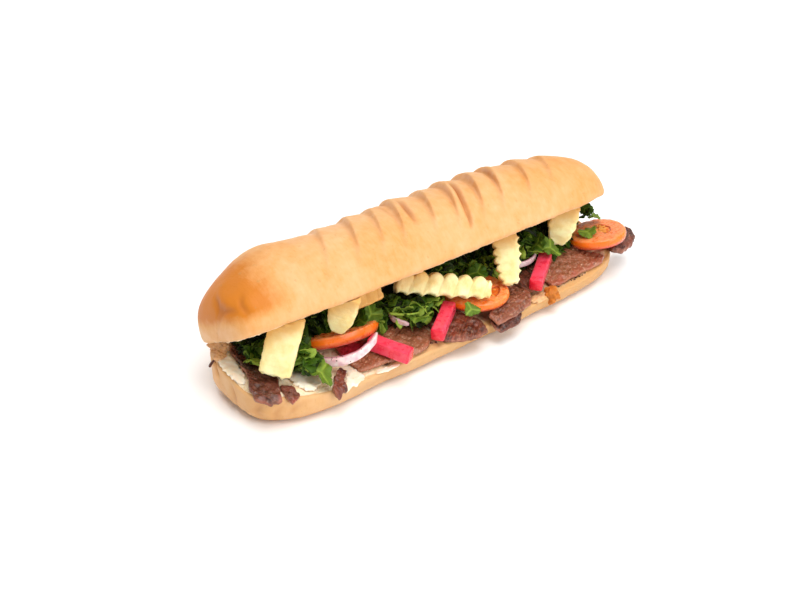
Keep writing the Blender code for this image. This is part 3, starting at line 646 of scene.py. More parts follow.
    # How brown: the left end most, the right end and the top a little, low on the front least.
    above_lip = smooth_step((z - 5.0) / 10.0)
    bake = 0.2 + 0.85 * smooth_step((-plan - 96.0) / 28.0) * above_lip
    bake = bake + 0.12 * smooth_step((plan - 10.0) / 90.0) + 0.1 * upper_share(grid[..., 2])
    bake = bake - 0.2 * smooth_step((np.where(outer_arc < OFF_DOME, -outer_arc, 0.0) - 36.0) / 14.0)
    bake = bake + pull * (base_bake(plan, grid[..., 2]) - bake)
    juice = 0.5 * crumb * smooth_step((plan + 90.0) / 30.0)
    return grid, {"crumb": crumb, "bake": bake, "crease": crease, "juice": juice}


grid, paint = lid_grid()
add_surface("roll_lid", grid, bread, ("bread_roll",), paint)

# %% [markdown]
# At the left end the two halves were torn apart, not cut, and two rough lumps of crust stand
# between them. Two more torn bits lie on the rim, right of the middle. Each is a ball squeezed into
# shape, with coarse and fine relief, and it takes the same bread material: a tear has no outline
# worth drawing, so relief alone shapes it.

# %% Torn lumps of crust
# Centre, half sizes along X, Y and Z, heading in degrees, share of crumb, how brown
TORN_BREAD = (
    ((-122.5, 21.0, 26.0), (5.6, 6.5, 3.0), 25.0, 0.4, 0.6),
    ((-127.6, 15.0, 24.2), (3.0, 4.2, 2.6), 0.0, 0.35, 0.7),
    ((66.0, -34.2, 11.9), (5.2, 4.4, 4.8), 15.0, 0.0, 1.0),
    ((56.5, -33.5, 12.9), (6.5, 3.8, 1.2), 10.0, 0.3, 0.35),
)
turn, tip = np.meshgrid(np.linspace(0, 2 * math.pi, 72, endpoint=False), np.linspace(0, math.pi, 40))
sphere = np.stack([np.sin(tip) * np.cos(turn), np.sin(tip) * np.sin(turn), np.cos(tip)], axis=-1)
for number, (centre, half, heading, crumb, brown) in enumerate(TORN_BREAD, 1):
    grid = sphere * np.array(half)
    relief = 0.13 * rough(grid, 4.0, 300 + number, 4)
    grid = grid * (1.0 + relief[..., None])
    c, s = math.cos(math.radians(heading)), math.sin(math.radians(heading))
    grid = grid @ np.array([[c, s, 0.0], [-s, c, 0.0], [0.0, 0.0, 1.0]]) + np.array(centre)
    # A torn lump is darker the browner it is, and darker in its hollows, where this is painted shade.
    paint = {"crumb": np.full(turn.shape, crumb), "juice": np.full(turn.shape, 0.2),
             "bake": brown + 0.5 * relief, "crease": np.clip(0.5 * brown**4 - 1.2 * relief, 0.0, 0.8)}
    add_surface(f"torn_bread_{number}", grid, bread, (), paint)

# %% [markdown]
# Shawarma beef is shaved from a turning spit, so each slice is thin, long-fibred and uneven: brown
# and crisp on its outer side, redder inside, and a little greasy. The fibres run one way in a
# slice. Two attributes carry the distance along and across them, so that a noise can be stretched
# ten times longer along the fibre than across it, whatever way the slice lies.

# %% Roast beef
beef, tree, place, (along, across, tone, red, cut_edge, beet) = food("shaved_roast_beef", {
    "IOR": 1.42, "Coat Weight": 0.35, "Coat Roughness": 0.3, "Subsurface Weight": 0.08,
    "Subsurface Radius": (1.0, 0.3, 0.2), "Subsurface Scale": 0.002,
}, ("along", "across", "tone", "red", "cut_edge", "beet"))
# along and across are in mm, so 1.1 a unit draws fibres 0.9 mm apart
shortened = node(tree, "Math", (along, 0.1), operation="MULTIPLY")
fibre = node(tree, "TexNoise", (node(tree, "CombineXYZ", (shortened, across)), 1.1, 4.0))
clot = node(tree, "TexNoise", (place, per_metre(9.0), 4.0, 0.62))
grain = node(tree, "TexNoise", (place, per_metre(1.3), 3.0, 0.6))
pale = (node(tree, "MapRange", (grain, 0.56, 0.68)), node(tree, "MapRange", (tone, 0.3, 1.0, 0.12, 0.75)))
beef_tint = layered(tree, "#2c110c", (
    (node(tree, "MapRange", (clot, 0.38, 0.6)), "#763822"),
    (node(tree, "MapRange", (fibre, 0.42, 0.68, 0.0, 0.7)), "#9c5036"),
    (node(tree, "MapRange", (tone, 0.5, 1.0, 0.0, 0.6)), "#b06c48"),
    (node(tree, "MapRange", (tone, 0.0, 0.5, 0.6, 0.0)), "#2e120d"),
    (node(tree, "Math", pale, operation="MULTIPLY"), "#dfb394"),
    (red, "#a4452f"),
    (cut_edge, "#b77458"),
    (beet, "#b8122e"),
))
gloss = node(tree, "MapRange", (clot, 0.3, 0.7, 0.3, 0.5))
finish_food(beef, beef_tint, gloss, ((fibre, 0.6), (grain, 0.35), (clot, 0.8)))

# %% [markdown]
# A slice starts as a polygon of corners seen from above. Points at even steps along it are drawn
# together a little to round the corners, and a ragged random step moves each in or out. Rings
# between the outline and its middle fill the slice. It lies on the cut face, droops over the rim,
# and its thickness closes to nothing at the edge as a superellipse does.

# %% Slices of beef
# Corners seen from above, lift of the front over what lies below, droop past the rim, thickness,
# tone from dark to light, direction of the fibres in degrees, and how red the front is
MEAT = (
    (
        (
            (-121, 17), (-123, 4), (-125.5, -10), (-129.5, -16), (-131, -25.5), (-125.5, -31),
            (-119.8, -33.5), (-117.2, -26), (-107, -10), (-107, 16),
        ),
        0, 0.2, 3.0, 0.15, -60, 0.6,
    ),
    (((-115, -21.5), (-117.6, -31.5), (-115.5, -35.5), (-110.4, -34), (-108.5, -26.5)),
     0, 0.3, 2.6, 0.2, -60, 0.7),
    (((-79.5, -24), (-77.6, -28), (-86, -38.5), (-92.5, -41), (-93.5, -37.5), (-87, -29.6)),
     0, 0.5, 3.0, 0.3, 50, 0.2),
    (((-72, 12), (-72.5, -31.5), (-54, -33.5), (-36, -36), (-28, -35), (-18.8, -28), (-18, 12)),
     0, 0.1, 3.0, 1.0, 20, 0.0),
    (((-16.6, 12), (-17, -36.6), (-8, -40.5), (1, -41.8), (10.7, -41), (12.6, -34), (-2, -4)),
     0, 0.08, 3.0, 0.5, 35, 0.0),
    (((15.8, -35.5), (15.2, -40), (18, -42.6), (33, -42.2), (37.5, -38.5), (38, -34.8)),
     0, 0.24, 2.6, 0.25, 10, 0.0),
    (
        (
            (14, -36), (15.5, -42.4), (30, -42), (44.7, -39.6), (50, -33), (49.8, 5), (43, 2),
            (34, -27),
        ),
        3.6, 0.1, 3.0, 0.68, 10, 0.0,
    ),
    (((51.3, 8), (51.3, -24), (55, -30), (62.5, -27.5), (66.2, -18), (66.3, 8)),
     0, 0.3, 3.0, 0.55, 80, 0.5),
    (((67.6, 10), (68.5, -31), (75, -32.5), (92, -31), (111.6, -31.2), (118.2, -27.5), (96, 2)),
     0, 0.2, 3.0, 0.95, 15, 0.65),
    (((124, -13), (124, -27), (130, -30), (141, -28.5), (149, -24), (152.5, -16), (149, -11.5)),
     0, 0.08, 4.4, 0.4, 60, 0.0),
)
SHREDS = 3  # the first slices are torn shreds, so their edges are the most ragged
OUTLINE_POINTS, TOP_RINGS, UNDER_RINGS = 300, 34, 12
EDGE_POWER = 26.0  # the higher, the blunter the edge of a slice
GAP = 0.4
BEET = (-66.0, -15.8, 8.5, 4.0)  # middle and half sizes of the stain that the turnip left


def drape(x, y, lift, droop):
    """Height of a slice's underside: the cut face, plus lift towards the front, less droop times
    (distance past the rim)^1.5."""
    outside = np.clip(past_rim(x, y) - 0.5, 0.0, 5.5)
    raised = lift * smooth_step((-y - 20.0) / 14.0)
    return cut_face(x, y) + GAP + raised - droop * outside**1.5


def rounded_outline(corners, count, blur):
    """Points at even steps along a closed polygon, each the mean of those within blur mm of it."""
    corners = np.array(corners, float)
    closed = np.vstack([corners, corners[:1]])
    reach = np.concatenate([[0.0], np.cumsum(np.linalg.norm(np.diff(closed, axis=0), axis=1))])
    at = np.linspace(0.0, reach[-1], count, endpoint=False)
    points = np.stack([np.interp(at, reach, closed[:, k]) for k in (0, 1)], axis=-1)
    spread = max(1, round(blur / (reach[-1] / count)))
    shifts = range(-spread, spread + 1)
    return sum(np.roll(points, shift, axis=0) for shift in shifts) / len(shifts)


def closing_pad(outline, rings, under, thickness, power):
    """Rings from the middle of the underside out to the edge and back to the middle of the top:
    shares of the outline, and heights t / 2 (1 -/+ (1 - s^p)^(1 / 2))."""
    low, high = np.linspace(0.02, 1.0, under) ** 0.6, np.linspace(1.0, 0.02, rings) ** 0.8
    share = np.concatenate([low, high[1:]])
    side = np.concatenate([-np.ones(under), np.ones(rings - 1)])
    height = 0.5 * thickness * (1.0 + side * np.sqrt(np.clip(1.0 - share**power, 0.0, 1.0)))
    plan = share[:, None, None] * outline[None]
    return plan, share, height, side


def laid(x, y, rise, lift, droop):
    """Points rise mm from the draped underside, along its unit normal."""
    step = 0.4
    z = drape(x, y, lift, droop)
    slope_x = (drape(x + step, y, lift, droop) - z) / step
    slope_y = (drape(x, y + step, lift, droop) - z) / step
    normal = unit(np.stack([-slope_x, -slope_y, np.ones_like(z)], axis=-1))
    return np.stack([x, y, z], axis=-1) + normal * rise[..., None]


def meat_slice(number, corners, lift, droop, thickness, tone, fibres, red):
    """A pad laid along drape(): its point is the underside plus height times the unit normal."""
    outline = rounded_outline(corners, OUTLINE_POINTS, 1.1)
    middle = outline.mean(axis=0)
    ragged = rough(on_plane(*outline.T), 7.0, 40 + number, 4)
    ragged = (0.55 if number <= SHREDS else 0.3) * ragged - 0.35
    outline = outline - middle
    outline = outline + ragged[:, None] * unit(outline)
    plan, share, height, side = closing_pad(outline, TOP_RINGS, UNDER_RINGS, thickness, EDGE_POWER)
    x, y = middle[0] + plan[..., 0], middle[1] + plan[..., 1]
    flat = on_plane(x, y)
    turn = math.radians(fibres)
    along = x * math.cos(turn) + y * math.sin(turn)
    across = -x * math.sin(turn) + y * math.cos(turn)
    strand = waves(on_plane(0.12 * along, across), 1.5, 60 + number)
    strand = strand + waves(on_plane(0.1 * along, across), 3.4, 80 + number)
    inner = smooth_step((1.0 - share) / 0.06)[:, None]
    top = (side > 0.0)[:, None]
    relief = 0.07 * strand + 0.35 * rough(flat, 5.0, 100 + number, 4)
    rise = height[:, None] + np.where(top, inner, 0.0) * relief
    grid = laid(x, y, rise, lift, droop)
    front = smooth_step((-y - 24.0) / 8.0) * smooth_step(0.5 + waves(flat, 9.0, 130 + number))
    rim = np.repeat(np.exp(-(((share - 1.0) / 0.05) ** 2))[:, None], x.shape[1], axis=1)
    beet = 0.9 * smooth_step(1.6 - np.hypot((x - BEET[0]) / BEET[2], (y - BEET[1]) / BEET[3]))
    paint = {
        "along": along, "across": across, "tone": np.full(x.shape, tone), "beet": beet,
        "red": red * front, "cut_edge": rim * np.clip(0.4 + 0.3 * waves(flat, 11.0, 3), 0.0, 0.8),
    }
    name = f"meat_slice_{number:02d}"
    add_surface("beef_" + name, grid, beef, (name,), paint, caps=True)


for number, row in enumerate(MEAT, 1):
    meat_slice(number, *row)

# %% [markdown]
# Garlic yogurt sauce was spread on the bread before the filling. It shows where the meat leaves
# the crumb bare: thick, smooth, cream white, with a soft edge that follows the bread.

# %% Yogurt sauce
yogurt, tree, place, _ = food("garlic_yogurt", {
    "IOR": 1.4, "Specular IOR Level": 0.5, "Subsurface Weight": 0.5,
    "Subsurface Radius": (1.0, 0.85, 0.6), "Subsurface Scale": 0.002,
})
cream = node(tree, "TexNoise", (place, per_metre(3.0), 3.0, 0.55))
cream_tint = layered(tree, "#ffe0c2", ((node(tree, "MapRange", (cream, 0.3, 0.65)), "#fff0dc"),))
finish_food(yogurt, cream_tint, node(tree, "MapRange", (cream, 0.3, 0.7, 0.3, 0.5)), ((cream, 0.12),))

# %% [markdown]
# A patch of sauce is the same kind of pad as a slice, with a rounder edge and a lumpy top. It lies
# a little way into the crumb, as sauce that has soaked in does.

# %% Patches of sauce
# Corners of each patch seen from above, and its thickness
SAUCE = (
    (((-125.8, 18.4), (-122.8, 14.0), (-122.4, 6.0), (-124.5, -5.0), (-127.5, -11.5), (-130.2, -10.0),
      (-131.3, -2.3), (-131.6, 5.6), (-129.6, 13.0)), 1.5),
    (((-105.5, -15.0), (-98.0, -15.5), (-94.0, -20.0), (-91.5, -26.0), (-97.0, -31.5), (-104.0, -31.5),
      (-107.3, -25.0)), 1.6),
    (((-78.5, -22.0), (-72.5, -24.5), (-69.5, -30.5), (-72.0, -35.6), (-79.0, -38.4), (-86.5, -39.6),
      (-83.0, -34.0), (-77.0, -29.0)), 1.5),
    (((-62.0, -33.4), (-52.0, -34.6), (-47.0, -35.6), (-50.0, -36.8), (-58.0, -36.6),
      (-63.5, -35.4)), 0.9),
)
PATCH_POINTS = 160
SOAKED = 0.35
for number, (corners, thickness) in enumerate(SAUCE, 1):
    outline = rounded_outline(corners, PATCH_POINTS, 1.8)
    middle = outline.mean(axis=0)
    ragged = 0.6 * rough(on_plane(*outline.T), 5.0, 320 + number, 4)
    outline = outline - middle
    outline = outline + ragged[:, None] * unit(outline)
    plan, share, height, side = closing_pad(outline, 30, 8, thickness, 5.0)
    x, y = middle[0] + plan[..., 0], middle[1] + plan[..., 1]
    lump = 0.28 * rough(on_plane(x, y), 9.0, 330 + number, 2)
    inner = np.where(side > 0.0, smooth_step((1.0 - share) / 0.2), 0.0)[:, None]
    grid = laid(x, y, height[:, None] - SOAKED + inner * lump, 0.0, 0.15)
    add_surface(f"yogurt_{number}", grid, yogurt, (), caps=True)

# %% [markdown]
# A slice of tomato shows a thin waxy skin at its side, a firm pink-orange wall, and wet chambers
# between spokes of flesh that hold gel and seeds. All of it is a function of angle and radius, so
# the chambers are dug into the top of the disc by the same function that paints them.

# %% Fresh tomato
tomato, tree, place, (gel, skin, below) = food("fresh_tomato", {
    "IOR": 1.38, "Coat Weight": 0.4, "Coat Roughness": 0.12, "Subsurface Weight": 0.6,
    "Subsurface Radius": (1.0, 0.35, 0.12), "Subsurface Scale": 0.003,
}, ("gel", "skin", "below"))
flesh = node(tree, "TexNoise", (place, per_metre(2.0), 3.0, 0.55))
tomato_tint = layered(tree, "#f8803e", (
    (node(tree, "MapRange", (flesh, 0.35, 0.7)), "#fea468"),
    (node(tree, "MapRange", (gel, 0.1, 0.5)), "#b8401a"),
    (node(tree, "MapRange", (gel, 0.6, 1.0)), "#e8742a"),
    (skin, "#ff7a14"),
    # Painted shade: the underside of a slice is darker red.
    (below, "#c22a14"),
))
wet = node(tree, "TexNoise", (place, per_metre(0.7), 2.0, 0.55))
gloss = node(tree, "MapRange", (flesh, 0.3, 0.7, 0.22, 0.4))
finish_food(tomato, tomato_tint, gloss, ((flesh, 0.12), (wet, 0.05)))

# %% [markdown]
# A slice is a disc a little out of round, lying in a plane of its own: one direction runs along it,
# one runs back and down, and the third is its normal. The first slice is cut off straight behind
# its middle, where it goes in under the lid. Seeds are placed where the chambers are deep.

# %% Slices of tomato
# Centre of the underside, radius, thickness, heading, backward tilt and lift of the right side in
# degrees, how far behind the centre it is cut off, and its chambers: how many, the direction of
# the first in degrees, and the shares of the radius that they lie between
TOMATO = (
    ((-66.5, -0.5, 19.8), 25.5, 6.0, -16.0, 20.0, 3.0, -0.42, (3, -95.0, 0.3, 0.74)),
    ((20.5, -18.5, 20.4), 19.0, 5.0, -20.0, 1.0, 0.0, 1.0, (3, -35.0, 0.28, 0.76)),
    ((120.4, -18.2, 23.5), 17.4, 5.9, -17.0, 8.0, 8.0, 1.0, (1, -5.0, 0.0, 0.52)),
)
ROUND_POINTS, CHORD_POINTS = 241, 60
SEED_TRIES = 110
seeds = []


def chambers(angle, share, count, start, inner, outer):
    """1 inside a seed chamber: lobes from cos(count (a - start)) between two shares of the radius."""
    lobe = smooth_step((np.cos(count * (angle - math.radians(start))) - 0.05) / 0.5)
    band = smooth_step((share - inner) / 0.12) * smooth_step((outer - share) / 0.1)
    return lobe * band


def tomato_slice(number, centre, radius, thickness, heading, tilt, lean, cut, lobes):
    """A pad in its own tilted plane, its outline r (1 + 0.02 cos(3 a)): a circle with three soft
    corners."""
    end = math.asin(cut)
    angle = np.linspace(math.pi - end, 2.0 * math.pi + end, ROUND_POINTS)
    reach = radius * (1.0 + 0.02 * np.cos(3.0 * angle + number))
    outline = np.stack([reach * np.cos(angle), reach * np.sin(angle)], axis=-1)
    outline = outline[:-1] if cut == 1.0 else np.concatenate(
        [outline, np.linspace(outline[-1], outline[0], CHORD_POINTS)[1:-1]])
    middle = outline.mean(axis=0)
    plan, share, height, side = closing_pad(outline - middle, 46, 14, thickness, 30.0)
    plan = plan + middle
    h, t, rise = math.radians(heading), math.radians(tilt), math.radians(lean)
    along = np.array([math.cos(h) * math.cos(rise), math.sin(h) * math.cos(rise), math.sin(rise)])
    back = np.array([-math.sin(h) * math.cos(t), math.cos(h) * math.cos(t), -math.sin(t)])
    up = unit(np.cross(along, back))
    turn = np.arctan2(plan[..., 1], plan[..., 0])
    out = np.linalg.norm(plan, axis=-1) / radius
    flat = on_plane(plan[..., 0], plan[..., 1])
    gel = chambers(turn + 0.1 * waves(flat, 8.0, 7 + number), out, *lobes)
    face = (side > 0)[:, None] * smooth_step((1.0 - share) / 0.05)[:, None]
    bumps = 0.12 * rough(flat, 4.0, 150 + number)
    lift = face * (bumps - 0.9 * gel + 0.25 * gel * waves(flat, 2.2, 5))
    rise = height[:, None] + lift
    grid = np.array(centre) + plan[..., :1] * along + plan[..., 1:] * back + rise[..., None] * up
    skin = np.repeat(smooth_step((share - 0.955) / 0.03)[:, None], out.shape[1], axis=1)
    # The underside is painted darker red, a painted shade.
    below = np.repeat(((side < 0) * smooth_step((0.97 - share) / 0.02))[:, None], out.shape[1], axis=1)
    name = f"tomato_slice_{number:02d}"
    add_surface("fresh_" + name, grid, tomato, (name,),
                {"gel": gel * face, "skin": skin, "below": below}, caps=True)
    draw = np.random.default_rng(170 + number)
    for _ in range(SEED_TRIES):
        a, s = draw.uniform(0.0, 2.0 * math.pi), draw.uniform(0.1, 0.7)
        if chambers(a, s, *lobes) < 0.8 or (cut < 1.0 and math.sin(a) * s > cut):
            continue
        flat = radius * s * np.array([math.cos(a), math.sin(a)])
        spot = np.array(centre) + flat[0] * along + flat[1] * back + (thickness - 0.55) * up
        seeds.append((spot, a + draw.uniform(-0.6, 0.6), along, back, up))


for number, row in enumerate(TOMATO, 1):
    tomato_slice(number, *row)

# %% [markdown]
# Tomato seeds are flat drops less than three millimetres long. Each is a small closed ball,
# stretched along one axis and flattened along another.

# %% Tomato seeds
SEED_ROWS, SEED_COLUMNS = 6, 8
seed_skin, tree, place, _ = food("tomato_seed", {"IOR": 1.4, "Roughness": 0.3})
speckle = node(tree, "TexNoise", (place, per_metre(1.0), 3.0, 0.55))
dimple = node(tree, "TexNoise", (place, per_metre(0.5), 3.0, 0.55))
finish_food(seed_skin, layered(tree, "#f0b34a", ((speckle, "#e88a3a"),)), None, ((dimple, 0.03),))
turn, tip = np.meshgrid(
    np.linspace(0, 2 * math.pi, SEED_COLUMNS, endpoint=False), np.linspace(0, math.pi, SEED_ROWS))
ball = np.stack([1.3 * np.cos(tip), 0.7 * np.sin(tip) * np.cos(turn),
                 0.35 * np.sin(tip) * np.sin(turn)], -1).reshape(-1, 3)
points, faces = [], []
for spot, heading, along, back, up in seeds:
    ahead = math.cos(heading) * along + math.sin(heading) * back
    aside = np.cross(up, ahead)
    faces += (quads(SEED_ROWS, SEED_COLUMNS) + len(points) * len(ball)).tolist()
    points.append(spot + ball @ np.stack([ahead, aside, up]))
add_piece("tomato_seeds", np.concatenate(points), faces, seed_skin)

# %% [markdown]
# Red onion is cut in thin half rings. The flesh is white and glassy, tinted pink towards the skin,
# and the purple skin is a fine line on one edge. The attribute skin runs from 0 to 1 across it.

# %% Red onion
onion, tree, place, (skin,) = food("red_onion", {
    "IOR": 1.38, "Roughness": 0.3, "Coat Weight": 0.3, "Subsurface Weight": 0.4,
    "Subsurface Radius": (1.0, 0.7, 0.7), "Subsurface Scale": 0.003,
}, ("skin",))
vein = node(tree, "TexNoise", (place, per_metre(3.0), 3.0, 0.55))
speck = node(tree, "TexNoise", (place, per_metre(1.3), 0.0, 0.55))
onion_tint = layered(tree, "#fae4e0", (
    (node(tree, "MapRange", (vein, 0.35, 0.65)), "#eebcc4"),
    (node(tree, "MapRange", (skin, 0.55, 1.0)), "#b0517a"),
    (node(tree, "MapRange", (speck, 0.76, 0.79)), "#5a3a30"),
))
finish_food(onion, onion_tint, None, ((vein, 0.2),))

# %% [markdown]
# A half ring is a soft rectangle carried round an arc. It gets thinner towards both ends, where
# the layers of an onion slip apart, and it climbs over whatever it lies on.

# %% Half rings of onion
# Centre, radius, band width and height, first and last angle in degrees, climb along X and along Y
ONION = (
    ((-69.1, -15.6, 26.4), 17.0, 3.2, 5.2, 182.0, 313.0, 0.3, -0.1),
    ((64.0, -3.0, 27.5), 13.0, 1.6, 3.4, 220.0, 335.0, 0.1, 0.1),
    ((-24.0, -17.0, 27.0), 13.0, 1.6, 3.4, 118.0, 222.0, 0.0, 0.0),
)
ARC_POINTS, BAND_POINTS = 110, 40


def onion_ring(number, centre, radius, width, height, first, last, climb_x, climb_y):
    """A superellipse section carried round an arc, thinner at both ends, with a shallow groove
    between its layers."""
    turn = np.radians(np.linspace(first, last, ARC_POINTS))[:, None]
    around = np.linspace(0.0, 2.0 * math.pi, BAND_POINTS, endpoint=False)[None]
    thin = 1.0 - 0.5 * np.abs(np.linspace(-1.0, 1.0, ARC_POINTS))[:, None] ** 6
    across = 0.5 * width * signed_power(np.cos(around), 0.6)
    rise = 0.5 * height * signed_power(np.sin(around), 0.6)
    groove = 1.0 - 0.12 * np.exp(-((np.sin(around) - 0.25) / 0.16) ** 2)
    reach = radius + thin * across * groove
    x, y = reach * np.cos(turn), reach * np.sin(turn)
    z = centre[2] + climb_x * x + climb_y * y + thin * rise
    grid = np.stack([centre[0] + x, centre[1] + y, z], axis=-1)
    grid = grid + 0.12 * waves(grid, 6.0, 180 + number)[..., None] * normals_of(grid)
    skin = smooth_step((np.sin(around) - 0.55) / 0.4) * smooth_step(0.7 - 0.6 * np.cos(around))
    skin = np.repeat(skin, ARC_POINTS, axis=0)
    name = f"onion_ring_{number:02d}"
    add_surface("red_" + name, grid, onion, (name,), {"skin": skin}, caps=True)


for number, row in enumerate(ONION, 1):
    onion_ring(number, *row)

# %% [markdown]
# Turnip pickled with beetroot takes a bright pink all through. The sticks are cut square, a bit
# crooked, and stay wet, so they have soft edges and sharp small highlights.

# %% Pickled turnip
turnip, tree, place, (cut_end,) = food("pickled_turnip", {
    "IOR": 1.38, "Coat Weight": 0.4, "Subsurface Weight": 0.4,
    "Subsurface Radius": (1.0, 0.25, 0.3), "Subsurface Scale": 0.003,
}, ("end",))
cell = node(tree, "TexNoise", (place, per_metre(3.5), 4.0, 0.55))
turnip_tint = layered(tree, "#ef3450", (
    (node(tree, "MapRange", (cell, 0.35, 0.68)), "#f5526e"),
    (cut_end, "#f01f3c"),
))
finish_food(turnip, turnip_tint, node(tree, "MapRange", (cell, 0.3, 0.7, 0.22, 0.38)), ((cell, 0.1),))

# %% [markdown]
# Sticks of turnip and fries are both straight bars with soft corners: a superellipse carried along
# a line from one end to the other, its half sizes given for each ring. A cutter leaves flat sides,
# so the power of the superellipse is high.

# %% Straight sticks


def cross_axes(start, end, facing):
    """Unit vectors along a piece, across it, and out of the side that turns to facing, which is
    facing less its own part along the piece."""
    along = np.subtract(end, start)
    along = along / np.linalg.norm(along)
    out = np.array(facing) - along * np.dot(facing, along)
    out = out / np.linalg.norm(out)
    return along, np.cross(along, out), out


def stick(start, end, distance, half_width, half_depth, facing, power, around):
    """Rings of a superellipse |u / a|^p + |v / b|^p = 1 at each distance along a line. The half
    sizes are numbers for each ring."""
    along, across, out = cross_axes(start, end, facing)
    angle = np.linspace(0.0, 2.0 * math.pi, around, endpoint=False)
    u = signed_power(np.cos(angle), 2.0 / power) * np.asarray(half_width)[:, None]
    v = signed_power(np.sin(angle), 2.0 / power) * np.asarray(half_depth)[:, None]
    grid = np.array(start) + np.asarray(distance)[:, None, None] * along
    return grid + u[..., None] * across + v[..., None] * out


bar = stick((0, 0, 0), (20, 0, 0), (0.0, 20.0), (3.8, 3.8), (3.8, 3.8), (0, 0, 1), 7.0, 72)
print("a bar 20 mm long measures", np.ptp(bar.reshape(-1, 3), axis=0).round(1), "mm")

# %% [markdown]
# Three sticks of turnip lie on the meat, their ends cut off square and a little worn. Each is
# slightly thinner in the middle and slightly uneven, as a pickled root is.

# %% Sticks of turnip
# Back end, front end, and side of the square section
TURNIP = (
    ((-56.4, -20.6, 22.6), (-46.0, -42.5, 20.2), 7.6),
    ((-0.6, -20.5, 23.0), (-22.6, -36.2, 20.2), 7.6),
    ((78.5, -15.5, 24.6), (54.6, -32.0, 20.9), 7.8),
)
TURNIP_RINGS, TURNIP_AROUND, TURNIP_POWER = 64, 72, 7.0
for number, (start, end, size) in enumerate(TURNIP, 1):
    length = math.dist(start, end)
    step = np.linspace(0.0, length, TURNIP_RINGS)
    inset = np.clip(np.minimum(step, length - step) / 0.8, 0.0, 1.0)
    half = 0.5 * size * (0.86 + 0.14 * np.sqrt(inset)) * (1.0 - 0.03 * np.sin(math.pi * step / length))
    grid = stick(start, end, step, half, half, (0, 0, 1), TURNIP_POWER, TURNIP_AROUND)
    centre = grid.mean(axis=1, keepdims=True)
    grid = centre + (grid - centre) * (1.0 + 0.014 * rough(grid, 9.0, 190 + number, 3))[..., None]
    at_end = np.repeat((1.0 - smooth_step((length - step) / 1.2))[:, None], TURNIP_AROUND, axis=1)
    add_surface(f"pink_turnip_{number:02d}", grid, turnip,
                (f"pickled_turnip_{number:02d}",), {"end": at_end}, caps=True)

# %% [markdown]
# The fries are crinkle cut: a wavy blade leaves a crest every five to eight millimetres. Both sides
# of a fry wave together, because they were cut by the same blade, so round crests on one side face
# sharp teeth on the other. They are fried pale: the potato is light yellow, only the crests are
# golden, and the surface is dry and a little blistered.

# %% Fried potato
potato, tree, place, (crest, under) = food("fried_potato", {
    "IOR": 1.4, "Specular IOR Level": 0.3, "Subsurface Weight": 0.3,
    "Subsurface Radius": (1.0, 0.8, 0.4), "Subsurface Scale": 0.004,
}, ("crest", "under"))
blister = node(tree, "TexNoise", (place, per_metre(1.1), 4.0, 0.6))
sweep = node(tree, "TexNoise", (place, per_metre(8.0), 3.0, 0.55))
gold = (crest, node(tree, "MapRange", (sweep, 0.4, 0.65)))
gold = node(tree, "Math", gold, operation="MULTIPLY")
potato_tint = layered(tree, "#fdf1ba", (
    (node(tree, "MapRange", (sweep, 0.35, 0.65)), "#f8e4a0"),
    (node(tree, "Math", (gold, 0.5), operation="MULTIPLY"), "#dcab54"),
    # Painted shade in the valleys between the crests.
    (node(tree, "MapRange", (crest, 0.3, 0.0, 0.0, 0.45)), "#dcaa58"),
    # Painted shade where the lid shadows a fry.
    (under, "#d39a4c"),
))
gloss = node(tree, "MapRange", (blister, 0.3, 0.7, 0.45, 0.65))
finish_food(potato, potato_tint, gloss, ((blister, 0.22), (sweep, 0.3)))

# %% [markdown]
# A fry starts as a straight stick. The blade's wave then moves each ring: sideways, so that both
# sides wave together, and outwards, so that it swells between the cuts. The ends are torn, and
# nothing rises past the lid above it. Where a fry is close under the lid, or lies in its shadow,
# it is painted darker: painted shade for the lid's shadow.

# %% Fries
# Lower end, upper end, width, depth, wave of both sides together, swelling between the cuts,
# spacing, slant of the crests, narrowing of the lower end, how ragged the ends are, and how much
# painted shade the lid's shadow lays over the whole fry
FRIES = (
    ((-116.0, -20.0, 26.2), (-103.0, -17.0, 56.0), 17.0, 7.0, 0.0, 0.08, 7.5, 0.0, 0.95, 0.6, 0.0),
    ((-77.2, -20.6, 36.8), (-72.6, -24.4, 60.0), 14.5, 7.5, 0.0, 0.12, 7.5, 0.0, 0.42, 0.3, 0.1),
    ((18.5, -32.8, 32.2), (-27.0, -4.5, 40.5), 11.4, 11.0, 1.25, 0.45, 8.3, 0.3, 0.85, 0.5, 0.0),
    ((36.6, -30.4, 27.6), (46.0, -12.5, 54.0), 14.2, 8.5, -0.85, 0.1, 4.7, 0.0, 0.62, 0.6, 0.0),
    ((89.5, -13.5, 28.6), (95.5, -13.5, 54.0), 16.4, 10.0, 0.3, 0.1, 7.0, 0.2, 0.5, 0.6, 0.0),
    ((-44.0, -14.0, 45.2), (-66.0, -13.5, 45.6), 8.5, 8.5, 0.4, 0.5, 7.4, 0.2, 0.8, 0.4, 0.85),
)
FRY_FACING = (-0.53, -0.66, 0.53)  # the way from which the broad side of a fry is seen
FRY_RINGS, FRY_AROUND, FRY_POWER = 170, 112, 6.5


